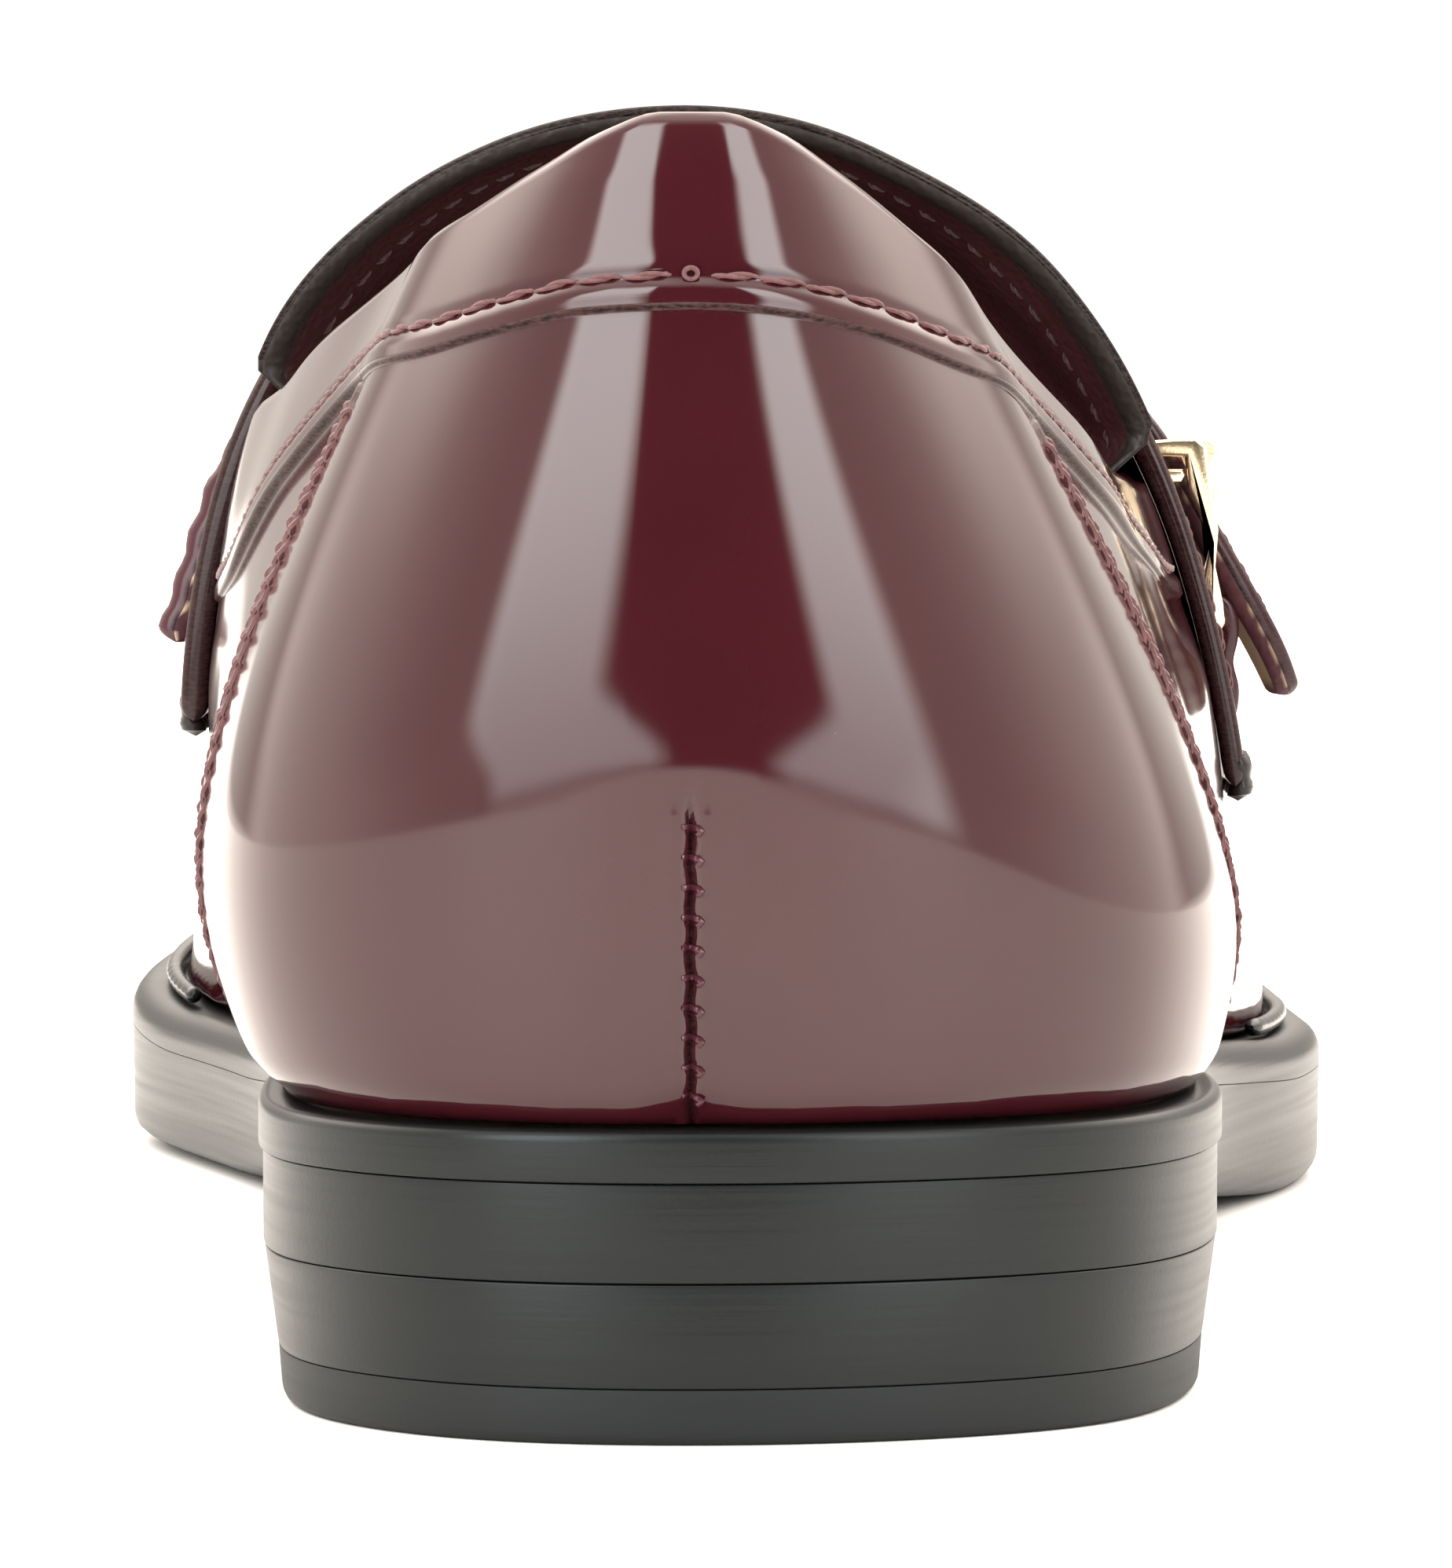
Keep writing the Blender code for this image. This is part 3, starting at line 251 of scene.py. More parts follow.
def fan_points(section, end, angle, sign, forward, toe_slope):
    """The control points (edge, bulge, flank, shoulder) at an angle from straight across."""
    side = "in" if sign < 0 else "out"
    across = {k: getattr(section, f"{k}_{side}") for k in ("edge", "bulge", "flank", "shoulder")}
    heights = {
        "bulge": getattr(section, f"bulge_z_{side}"),
        "flank": getattr(section, f"flank_z_{side}"),
        "shoulder": section.shoulder_z,
    }
    mean = {
        k: 0.5 * (getattr(section, f"{k}_in") + getattr(section, f"{k}_out")) for k in across
    }
    share = math.sin(angle) ** 2
    points = []
    for name in ("edge", "bulge", "flank", "shoulder"):
        half = across[name] + (mean[name] - across[name]) * math.sin(angle) ** 3
        reach = superellipse(angle, half, getattr(end, name), end.roundness)
        x = section.x + sign * reach * math.cos(angle)
        s = section.s + forward * reach * math.sin(angle)
        z = 0.0
        if name != "edge":
            z = heights[name] + (getattr(end, f"{name}_z") - heights[name]) * share
        if name == "shoulder" and forward > 0:
            z = section.crown_z + toe_slope * reach * math.sin(angle)
        points.append((x, s, z))
    return points


def section_points(section, sign):
    side = "in" if sign < 0 else "out"
    points = []
    for name in ("edge", "bulge", "flank", "shoulder"):
        x = section.x + sign * getattr(section, f"{name}_{side}")
        z = 0.0
        if name in ("bulge", "flank"):
            z = getattr(section, f"{name}_z_{side}")
        if name == "shoulder":
            z = section.shoulder_z
        points.append((x, section.s, z))
    return points


class Last:
    """The form that the shoe is built on: a surface over u, round the outline, and v, from edge to crown."""

    def __init__(self):
        self.crown_x = Spline([r.s for r in SECTIONS], [r.x for r in SECTIONS])
        self.crown_z = Spline([r.s for r in SECTIONS], [r.crown_z for r in SECTIONS])
        toe_slope = (TOE_END.shoulder_z - SECTIONS[-1].crown_z) / TOE_END.shoulder
        half = []
        for angle in reversed(FAN_ANGLES[:-1]):
            half.append((HEEL_FAN * (1 - angle / 90), SECTIONS[0], HEEL_END, math.radians(angle), -1))
        for section in SECTIONS:
            half.append((HEEL_FAN + section.s - HEEL_AXIS, section, None, 0.0, 0))
        for angle in FAN_ANGLES[:-1]:
            half.append((TOE_START + TOE_FAN * angle / 90, SECTIONS[-1], TOE_END, math.radians(angle), 1))
        rows = []
        for sign in (-1, 1):
            for u, section, end, angle, forward in half:
                if end:
                    points = fan_points(section, end, angle, sign, forward, toe_slope)
                else:
                    points = section_points(section, sign)
                rows.append((sign * u, points))
        rows.append((0.0, fan_points(SECTIONS[0], HEEL_END, math.pi / 2, 1, -1, toe_slope)))
        rows.append((ROUND, fan_points(SECTIONS[-1], TOE_END, math.pi / 2, 1, 1, toe_slope)))
        rows.sort(key=lambda row: row[0])
        stops = [row[0] for row in rows]
        self.controls = []
        for k in range(4):
            points = np.array([row[1][k] for row in rows])
            self.controls.append(Spline(stops, points, 2 * ROUND))

    def along(self, u):
        """Where on the crown line a station ends."""
        return np.clip(HEEL_AXIS + np.abs(u) - HEEL_FAN, HEEL_AXIS, TOE_AXIS)

    def crown(self, u):
        s = self.along(u)
        x = self.crown_x.at(s)[:, 0]
        return np.stack([x, s, self.crest(s)], 1)

    def crest(self, s):
        """The crown line's height."""
        return self.crown_z.at(s)[:, 0]

    def outline(self, u, inset=0.0):
        """The sole's edge in plan, moved in towards the crown line by inset."""
        edge = self.controls[0].at(u)[:, :2]
        middle = self.crown(u)[:, :2]
        reach = np.linalg.norm(edge - middle, axis=1)
        return edge + (middle - edge) * (np.broadcast_to(inset, reach.shape) / reach)[:, None]

    def feather(self, u):
        """The upper's lower edge, a fit above the sole."""
        edge = self.controls[0].at(u)
        plan = self.outline(u, ledge(edge[:, 1]))
        return np.column_stack([plan, sole_top(plan[:, 1]) + FIT])

    def at(self, u, v):
        """Points of the surface: v is 0 at the feather edge, 1 at the bulge and 2 at the crown."""
        u, v = np.broadcast_arrays(np.atleast_1d(np.asarray(u, float)), np.asarray(v, float))
        shape = u.shape
        u, v = u.ravel(), v.ravel()
        feather, crown = self.feather(u), self.crown(u)
        bulge, flank, shoulder = (self.controls[k].at(u) for k in (1, 2, 3))
        rise = flank - bulge
        rise /= np.linalg.norm(rise, axis=1)[:, None]
        height = (bulge - feather)[:, 2:3]
        low = feather + (bulge - feather) * FOOT_HANDLE
        high = bulge - rise * BULGE_HANDLE * height
        t = np.clip(v, 0, 1)[:, None]
        below = bezier(t, feather, low, high, bulge)
        t = np.clip(v - 1, 0, 1)[:, None]
        above = bezier(t, bulge, flank, shoulder, crown)
        return np.where((v > 1)[:, None], above, below).reshape(*shape, 3)

    def normal(self, u, v):
        """The outward direction at each point."""
        u, v = np.broadcast_arrays(np.atleast_1d(np.asarray(u, float)), np.asarray(v, float))
        beside = np.minimum(v, V_CROWN)
        around = self.at(u + 0.5, beside) - self.at(u - 0.5, beside)
        v_high, v_low = np.minimum(v + V_STEP, V_CROWN), np.clip(v - V_STEP, 0, V_CROWN - V_STEP)
        up = self.at(u, v_high) - self.at(u, v_low)
        out = np.cross(around, up)
        out /= np.linalg.norm(out, axis=-1)[..., None]
        s = self.along(u.ravel())
        slope = (self.crest(s + 0.5) - self.crest(s - 0.5)).reshape(u.shape)
        over = np.stack([np.zeros_like(slope), -slope, np.ones_like(slope)], -1)
        over /= np.linalg.norm(over, axis=-1)[..., None]
        return np.where((v > V_CROWN - V_STEP / 2)[..., None], over, out)

    def measure(self):
        """Notes, on a fine grid, at which v each station reaches each height."""
        self.stations = np.linspace(-ROUND, ROUND, 1201)
        self.heights = np.linspace(10.0, 125.0, 461)
        rows = np.linspace(0, 2, 241)
        rise = np.maximum.accumulate(self.at(self.stations[:, None], rows[None, :])[..., 2], 1)
        self.reached = np.array([np.interp(self.heights, row, rows) for row in rise])

    def level(self, u, z):
        """The v where each station reaches a height, or the crown if it never does."""
        u, z = np.broadcast_arrays(np.asarray(u, float), np.asarray(z, float))
        i = (u - self.stations[0]) / (self.stations[1] - self.stations[0])
        j = (z - self.heights[0]) / (self.heights[1] - self.heights[0])
        i, j = np.clip(i, 0, len(self.stations) - 1.001), np.clip(j, 0, len(self.heights) - 1.001)
        low_i, low_j = i.astype(int), j.astype(int)
        part_i, part_j = i - low_i, j - low_j
        near = self.reached[low_i, low_j] * (1 - part_j) + self.reached[low_i, low_j + 1] * part_j
        far = self.reached[low_i + 1, low_j] * (1 - part_j) + self.reached[low_i + 1, low_j + 1] * part_j
        return near * (1 - part_i) + far * part_i


def bezier(t, a, b, c, d):
    return (1 - t) ** 3 * a + 3 * t * (1 - t) ** 2 * b + 3 * t * t * (1 - t) * c + t**3 * d


LAST = Last()
LAST.measure()


def line_height(u, name):
    """The height of topline or line at each station, from the row of its own side."""
    u = np.atleast_1d(np.asarray(u, float))
    stops = [row.u for row in LINES]
    inner = steady(stops, [getattr(row, name + "_in") for row in LINES], np.abs(u))
    outer = steady(stops, [getattr(row, name + "_out") for row in LINES], np.abs(u))
    return np.where(u < 0, inner, outer)


def station(s, sign):
    """The u of a section at s on one side."""
    return sign * (HEEL_FAN + s - HEEL_AXIS)


def place(points):
    """Millimetres of the last, in the shoe's own frame in metres."""
    return (np.asarray(points) - np.array((MIDDLE_X, MIDDLE_Y, 0.0))) * MM


# Mesh tools


def grid(mesh_data, places, look=0, **layers):
    """Adds a grid of faces through an array of points, with a material slot and named vertex values."""
    rows, columns = places.shape[:2]
    made = bmesh.ops.create_grid(mesh_data, x_segments=columns - 1, y_segments=rows - 1, size=0.5)
    points = place(places)
    kept = {name: mesh_data.verts.layers.float[name] for name in layers}
    faces = set()
    for vertex in made["verts"]:
        i = round((vertex.co.x + 0.5) * (columns - 1))
        j = round((vertex.co.y + 0.5) * (rows - 1))
        vertex.co = points[j, i]
        for name, layer in kept.items():
            vertex[layer] = layers[name][j, i]
        faces.update(vertex.link_faces)
    for face in faces:
        face.material_index = look


def started(*layers):
    """A new bmesh with named vertex values."""
    mesh_data = bmesh.new()
    for name in layers:
        mesh_data.verts.layers.float.new(name)
    return mesh_data


def finish(name, mesh_data, looks, slot, stands_for=(), smooth=40.0):
    """Closes and orients a bmesh, makes it a piece that rides on the shoe, and hides the parts of model.glb
    that it stands for.
    """
    bmesh.ops.remove_doubles(mesh_data, verts=mesh_data.verts[:], dist=WELD * MM)
    bmesh.ops.dissolve_degenerate(mesh_data, edges=mesh_data.edges[:], dist=WELD * MM / 10)
    bmesh.ops.recalc_face_normals(mesh_data, faces=mesh_data.faces[:])
    mesh = bpy.data.meshes.new(name)
    mesh_data.to_mesh(mesh)
    mesh_data.free()
    mesh.shade_smooth()
    mesh.set_sharp_from_angle(angle=math.radians(smooth))
    for look in looks:
        mesh.materials.append(look)
    piece = bpy.data.objects.new(name, mesh)
    bpy.context.scene.collection.objects.link(piece)
    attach(piece, "root")
    if stands_for:
        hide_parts(*stands_for)
    return piece


def unit(vectors):
    return vectors / np.maximum(np.linalg.norm(vectors, axis=-1), 1e-9)[..., None]


def ramp(x):
    """Goes smoothly from 0 to 1 as x does."""
    return blend(x)


def bell(x):
    """1 at 0, fading on both sides."""
    return np.exp(-x * x)


def ripple(*coordinates, seed=1, waves=7):
    """A smooth, irregular field between about -1 and 1 over coordinates that are already in wavelengths."""
    random = np.random.default_rng(seed)
    field = 0.0
    for _ in range(waves):
        turn = random.uniform(0, 2 * math.pi)
        swing = random.normal(0, 1, len(coordinates))
        phase = sum(weight * axis for weight, axis in zip(swing, coordinates))
        field = field + np.sin(2 * math.pi * phase + turn)
    return field / math.sqrt(waves)


def rimmed(length, rim, steps, turns=5):
    """Places along a length, close together in the rounding at both ends."""
    turn = rim * (1 - np.cos(np.linspace(0, math.pi / 2, turns + 1)))
    middle = np.linspace(rim, length - rim, steps + 1)[1:-1]
    return np.concatenate([turn, middle, length - turn[::-1]])


def swell(distance, rim):
    """The half thickness of a rounded sheet at a distance from its rim, as a share."""
    x = np.clip(distance / rim, 0, 1)
    return np.sqrt(np.maximum(1 - (1 - x) ** 2, 0))


def sheet(mesh_data, middle, out, half, share, look_over=0, look_under=0, **layers):
    """A closed sheet about a middle surface. half is half its thickness and share goes to 0 at its rim."""
    lift = out * (half * share)[..., None]
    grid(mesh_data, middle + lift, look_over, **layers)
    grid(mesh_data, middle - lift, look_under, **layers)


def tube(mesh_data, path, across, up, radius, look=0, sides=8, **layers):
    """A closed tube along a path, whose radius may change along it. across and up span its section."""
    angles = np.linspace(0, 2 * math.pi, sides + 1)
    radius = np.broadcast_to(radius, len(path))
    rows = []
    for angle in angles:
        rows.append(path + (across * math.cos(angle) + up * math.sin(angle)) * radius[:, None])
    first, last = (end[None].repeat(sides + 1, 0) for end in (path[:1], path[-1:]))
    rows = np.concatenate([first, np.array(rows), last], 1)
    grid(mesh_data, rows, look, **{k: np.full(rows.shape[:2], v) for k, v in layers.items()})


def run_along(path):
    """How far along a path each of its points lies."""
    return np.append(0, np.cumsum(np.linalg.norm(np.diff(path, axis=0), axis=1)))


def resample(path, out, places):
    """Points of a path and its outward directions, at places along it."""
    along = run_along(path)
    pick = lambda values: np.stack([np.interp(places, along, values[:, k]) for k in range(3)], 1)
    return pick(path), unit(pick(out))


# How often the two plies of a thread turn round each other in a stitch. Then their radius, how much of it
# they lose towards a hole and how far apart they lie, as shares of the thread's. Then how a stitch arches
# and how far it sinks into its hole.
PLY_TURNS, PLY_RADIUS, PLY_TAPER, PLY_APART, STITCH_ARCH, STITCH_SUNK = 0.9, 0.62, 0.25, 0.45, 0.6, 0.7


def thread_row(mesh_data, path, out, pitch, length, radius, lift=0.1, start=0.0, lean=0.0):
    """A row of stitches on a path, each of two twisted plies from one hole to the next."""
    along = run_along(path)
    count = int((along[-1] - start - length) / pitch) + 1
    steps = np.linspace(0, 1, 9)
    for k in range(count):
        places = start + k * pitch + steps * length
        points, rise = resample(path, out, places)
        ahead = unit(np.gradient(points, axis=0))
        side = unit(np.cross(rise, ahead))
        arch = np.sin(math.pi * steps) ** STITCH_ARCH
        points = points + rise * (lift * arch - STITCH_SUNK * radius * (1 - arch))[:, None]
        points = points + side * (lean * (steps - 0.5))[:, None]
        for ply in (0, 1):
            twist = 2 * math.pi * PLY_TURNS * steps + math.pi * ply
            offset = side * np.cos(twist)[:, None] + rise * np.sin(twist)[:, None]
            thick = radius * (PLY_RADIUS - PLY_TAPER * np.abs(2 * steps - 1) ** 4)
            tube(mesh_data, points + offset * PLY_APART * radius, side, rise, thick, sides=6)


# The upper

# A place on the upper's wall is a station u and a rise. The rise is 0 at the sole and 1 at LINE_LOW under the
# line, 2 at LINE_HIGH over it, and 3 at the mouth or at the crown.
LINE_LOW, LINE_HIGH, TOP_ROLL = -1.5, 2.8, 1.1
WALL_LINING = 1.7
# Stations round one half of the upper, and rises up its wall: start, end, steps.
WALL_STATIONS = (
    (0.0, 0.9, 8), (0.9, 3.0, 5), (3.0, 40.5, 30), (40.5, 44.6, 18), (44.6, 45.5, 6), (45.5, 76.0, 22),
    (76.0, 127.4, 38), (127.4, 128.4, 3), (128.4, 171.0, 28), (171.0, 310.0, 92),
)
WALL_RISES = (
    (0.0, 0.1, 9), (0.1, 1.0, 70), (1.0, 1.24, 4), (1.24, 1.38, 12), (1.38, 2.0, 12), (2.0, 3.0, 26),
)
# A relief across the wall: where its middle lies, its half width and how far it stands out there.
Relief = namedtuple("Relief", "place width height")
# The collar band thins towards its ends, by a share and from a reach round the upper.
BAND_THINNING, BAND_THINS_FROM, BAND_THINS_OVER = 0.55, 72, 30
BAND_LIP = Relief(0.75, 0.5, 0.12)
# The groove that a row of stitches presses in, how its depth swings from stitch to stitch, and the puckers.
GROOVE, GROOVE_WIDTH, COLLAR_SWING, SEAM_SWING = 0.16, 0.42, 0.05, 0.08
COLLAR_PUCKER, PUCKER_WIDTH = 0.035, 1.3
DART_TOP, DART_FOOT, DART_WIDTH, DART_DEPTH, DART_FADE, DART_PITCH = 41.0, 20.6, 0.15, 0.75, 2.6, 1.85
DART_HOLLOW, DART_LIPS, DART_END = Relief(0, 3.2, 0.09), Relief(0.7, 0.35, 0.06), Relief(0, 1.6, 0.5)
# Unevenness where the wall was pulled over the last, the apron's ridge and grooves, and the wall's own waves.
LASTING, RIDGE_HALF, RIDGE_GROOVE, WHIPPED, UNEVEN = 0.13, 1.15, 0.2, 0.10, 0.03
FOOT_TUCK = 0.6
# The back is drawn in round the ankle: by how much at its top, from which height, and over which half width.
HEEL_MIDDLE, DRAWN_IN, DRAWN_FROM, DRAWN_WIDTH = -2.2, 2.0, 38.0, 7.0
SEAM_TOP_IN, SEAM_TOP_OUT, SWEEP_IN = 40.4, 45.6, 0.55
SEAM_ROWS, SEAM_LENGTH, SEAM_PITCH, SEAM_SWELL = (0.9, 2.8), 58.0, 2.15, 0.25
# The wall is drawn in under the saddle's rear edge: where, over what half length, and how far on each side.
PINCH_AT, PINCH_WIDTH, PINCH_FROM, PINCH_IN, PINCH_OUT = 100.0, 15.0, 43.0, 0.6, 1.3
COLLAR_STITCH_RISE, COLLAR_PITCH, APRON_PITCH = 1.75, 3.05, 4.2
# Creases across the vamp: where each starts and ends across the shoe and along it, how far it
# bows forward in its middle, its depth (a ridge where negative) and its half width.
Crease = namedtuple("Crease", "x_in s_in x_out s_out bow depth width")
CREASES = (
    Crease(-34, 158, 30, 160, 5.0, 0.30, 2.6),
    Crease(-30, 164, 34, 167, 6.0, -0.16, 2.4),
    Crease(-36, 171, 26, 172, 6.5, 0.34, 2.3),
    Crease(-24, 177, 37, 179, 6.0, 0.22, 2.6),
    Crease(-38, 186, 18, 183, 7.0, 0.26, 2.0),
    Crease(-10, 192, 38, 190, 6.0, 0.18, 2.2),
)


def steps_of(table):
    """Places from a table of starts, ends and numbers of steps."""
    places = [table[0][0]]
    for start, end, count in table:
        places += list(np.linspace(start, end, count + 1)[1:])
    return np.array(places)


def slanted(u, share):
    """Stations moved so that those at the counter's seam slant from its top to its foot."""
    top = np.where(u < 0, SEAM_TOP_IN, SEAM_TOP_OUT)
    seam = top + (COUNTER_FOOT - top) * (1 - share) ** np.where(u < 0, SWEEP_IN, COUNTER_SWEEP)
    reach = np.abs(u)
    before = reach * seam / COUNTER_TOP
    beyond = seam + (reach - COUNTER_TOP) * (COUNTER_STILL - seam) / (COUNTER_STILL - COUNTER_TOP)
    moved = np.where(reach < COUNTER_TOP, before, np.where(reach < COUNTER_STILL, beyond, reach))
    return np.sign(u) * moved


def wall_place(u, rise):
    """Stations and v of places on the wall, and how high each lies over the line."""
    u, rise = np.broadcast_arrays(np.asarray(u, float), np.asarray(rise, float))
    shape = u.shape
    u, rise = u.ravel(), rise.ravel()
    stations = slanted(u, np.clip(rise, 0, 1) * 0.97)
    line = line_height(stations, "line")
    foot = LAST.feather(stations)[:, 2]
    below = foot + (line + LINE_LOW - foot) * np.clip(rise, 0, 1)
    near = line + LINE_LOW + (LINE_HIGH - LINE_LOW) * (np.clip(rise, 1, 2) - 1)
    v = LAST.level(stations, np.where(rise < 1, below, near))
    v_top = LAST.level(stations, line_height(stations, "topline") - TOP_ROLL)
    v = np.where(rise > 2, v + (v_top - v) * (rise - 2), v) * (rise > 0)
    over = LAST.at(stations, v)[:, 2] - line
    return stations.reshape(shape), v.reshape(shape), over.reshape(shape)


def pinched(stations, points):
    """How far the wall is drawn in at places on it."""
    share = bell((points[..., 1] - PINCH_AT) / PINCH_WIDTH) * ramp((points[..., 2] - PINCH_FROM) / 9)
    return share * np.where(stations < 0, PINCH_IN, PINCH_OUT) * (np.abs(stations) < 150)


def raised(across, relief):
    """How far a relief stands out at places across it."""
    return relief.height * bell((across - relief.place) / relief.width)


def wall_relief(u, rise, stations, over, points):
    """How far the outer face stands off the last, with the shares of raw edge (in the dart's slit partly
    painted shade) and of fine wrinkles there.
    """
    reach, z = np.abs(u), points[..., 2]
    on_band = 1 - ramp((reach - BAND_END + 0.4) / 0.8)
    band = ramp((over + 0.34) / 0.36) * on_band
    raw = bell((over + 0.17) / 0.36) ** 4 * on_band
    off = COLLAR_BAND * band * (1 - BAND_THINNING * ramp((reach - BAND_THINS_FROM) / BAND_THINS_OVER))
    off -= pinched(stations, points)
    off += raised(over, BAND_LIP) * on_band
    # The rows of stitches press a groove into the leather, which puckers between them.
    stitched = np.sin(2 * math.pi * stations / COLLAR_PITCH)
    off -= (GROOVE + COLLAR_SWING * stitched) * bell((over - COLLAR_STITCH_RISE) / GROOVE_WIDTH) * on_band
    off += COLLAR_PUCKER * stitched * bell((over - COLLAR_STITCH_RISE) / PUCKER_WIDTH) * on_band
    off += COUNTER * ((1 - ramp((reach - COUNTER_TOP + 0.45) / 0.6)) * (1 - band) * (rise < 1.5))
    along, below = np.clip(rise, 0, 1) * SEAM_LENGTH, rise < 1.2
    for row, turn in zip(SEAM_ROWS, (0.0, 0.5)):
        pucker = np.sin(2 * math.pi * (along / SEAM_PITCH + turn))
        beside = (reach - COUNTER_TOP + row) / GROOVE_WIDTH
        off -= (GROOVE + SEAM_SWING * pucker) * bell(beside) * (1 - band) * below
    off += SEAM_SWELL * bell((reach - COUNTER_TOP + sum(SEAM_ROWS) / 2) / 0.9) * (1 - band) * below
    seam_raw = bell((reach - COUNTER_TOP) / 0.3) * (1 - band) * below
    # The slit of the back dart wanders a little. Its lips are raised and lie in a shallow hollow.
    slit, wander = ramp((DART_TOP - z) / DART_FADE) * (u * u < 40), u + 0.06 * np.sin(z * 2.1)
    off -= DART_DEPTH * bell(wander / DART_WIDTH) * slit
    off -= raised(u, DART_HOLLOW) * ramp((DART_TOP + 1.5 - z) / 3) * (u * u < 90)
    off += raised(reach, DART_LIPS) * slit * (1 + 0.5 * np.sin(2 * math.pi * z / DART_PITCH))
    off -= raised(u, DART_END) * bell((z - DART_FOOT) / 1.2)
    lasted = bell(np.clip(rise, 0, 1) / 0.045) * (rise < 1)
    off += LASTING * lasted * ripple(stations / 9.0, seed=4) * ramp(rise / 0.02)
    ridge = np.clip((reach - SEAM_START) / SEAM_RISE, 0, 1)
    off += SEAM_RIDGE * ridge * np.sqrt(np.maximum(1 - (over / RIDGE_HALF) ** 2, 0))
    off -= RIDGE_GROOVE * ridge * (bell((over - 1.7) / 0.5) + bell((over + 1.6) / 0.4))
    whipped = np.sin(2 * math.pi * stations / APRON_PITCH)
    off += WHIPPED * ridge * whipped * bell(over / 2.6)
    off += UNEVEN * ripple(stations / 60.0, z / 50.0, seed=11) * ramp(rise / 0.3)
    # The wall turns in at its foot, most of all at the corners of the heel seat.
    tuck = bell((reach - 24) / 16)
    off -= FOOT_TUCK * (1 + 1.1 * tuck) * (1 - np.clip(rise / (0.032 + 0.04 * tuck), 0, 1)) ** 2
    for crease in CREASES:
        share = (points[..., 0] - crease.x_in) / (crease.x_out - crease.x_in)
        line = crease.s_in + (crease.s_out - crease.s_in) * share + crease.bow * 4 * share * (1 - share)
        ends = ramp(share / 0.3) * ramp((1 - share) / 0.3)
        off -= crease.depth * ends * bell((points[..., 1] - line) / crease.width) * (reach > 160)
    fine = bell((stations + 1) / 9.0) * bell((z - 74.5) / 2.6) * (rise > 2)
    fine += 0.8 * bell(rise / 0.06) * (rise < 1) * (reach < 60)
    raw = np.maximum(raw, 0.75 * seam_raw)
    # The dart's slit takes the raw-edge colour: partly its butted cut edges, partly painted shade deep in the
    # narrow slit.
    raw = np.maximum(raw, 0.6 * bell(wander / 0.2) ** 2 * slit)
    return off, raw, np.clip(fine, 0, 1)


def drawn_in(points):
    """The same points with the heel's back drawn in, which rounds it towards its top."""
    x, s, z = np.moveaxis(points, -1, 0)
    width = DRAWN_WIDTH + np.maximum(79 - z, 0) / 3
    depth = DRAWN_IN * ramp((z - DRAWN_FROM) / 44) * bell((x - HEEL_MIDDLE) / width)
    depth = depth * (1 - ramp((s - 20) / 20))
    return np.stack([x, s + depth, z], -1)


def wall_points(u, rise, lift=0.0):
    """Points of the upper's outer face, its outward directions, and the shares of raw edge (in the dart's
    slit partly painted shade) and wrinkles.
    """
    stations, v, over = wall_place(u, rise)
    u, rise = np.broadcast_arrays(u, rise)
    base, out = LAST.at(stations, v), LAST.normal(stations, v)
    off, raw, fine = wall_relief(u, rise, stations, over, base)
    points = base + out * (off + lift)[..., None]
    foot = rise == 0
    points[foot, 2] = base[foot, 2]
    return drawn_in(points), out, raw, fine


def mouth_roll(u, steps=7):
    """The rounded top edge, folded over from the outer face to the lining."""
    rise = np.full(len(u), 3.0)
    stations, v, over = wall_place(u, rise)
    base, out = LAST.at(stations, v), LAST.normal(stations, v)
    up = unit(base - LAST.at(stations, v - 0.02))
    reach = wall_relief(u, rise, stations, over, base)[0]
    within = WALL_LINING + pinched(stations, base)
    middle, half = (reach - within) / 2, (reach + within) / 2
    rows = []
    for angle in np.linspace(0, math.pi, steps):
        side = (middle + half * math.cos(angle))[:, None]
        rows.append(base + out * side + up * (TOP_ROLL * math.sin(angle) ** 0.8))
    return drawn_in(np.array(rows))


def lining_points(u, count=22):
    """The lining's face, from the top edge down to the sole."""
    rows = []
    mouth = slanted(u, 1.0)
    v_top = LAST.level(mouth, line_height(mouth, "topline") - TOP_ROLL)
    for share in np.linspace(1, 0, count):
        stations = slanted(u, share * 0.97)
        points = LAST.at(stations, v_top * share)
        within = WALL_LINING + pinched(stations, points)
        points = points - LAST.normal(stations, v_top * share) * within[:, None]
        if share == 0:
            points[:, 2] = LAST.feather(stations)[:, 2]
        rows.append(points)
    return drawn_in(np.array(rows))


# The vamp is evened out up to CALM_FROM from the crown's front end, and less and less up to CALM_TO.
CALM_FROM, CALM_TO = 8.0, 16.0


def calmed(points):
    """The same points with one even curve where all the lines of the vamp meet, at the crown's front end."""
    centre = LAST.crown(np.array([ROUND]))[0]
    x, s = (points[..., k] - centre[k] for k in (0, 1))
    far = np.hypot(x, s)
    terms = np.stack([x**0, x, s, x * x, x * s, s * s, s**3, x * x * s], -1)
    ring = (far > CALM_FROM) & (far < CALM_TO)
    curve = terms @ np.linalg.lstsq(terms[ring], points[ring][:, 2], rcond=None)[0]
    share = 1 - ramp((far - CALM_FROM) / (CALM_TO - CALM_FROM))
    height = points[..., 2] + (curve - points[..., 2]) * share
    return np.stack([points[..., 0], points[..., 1], height], -1)


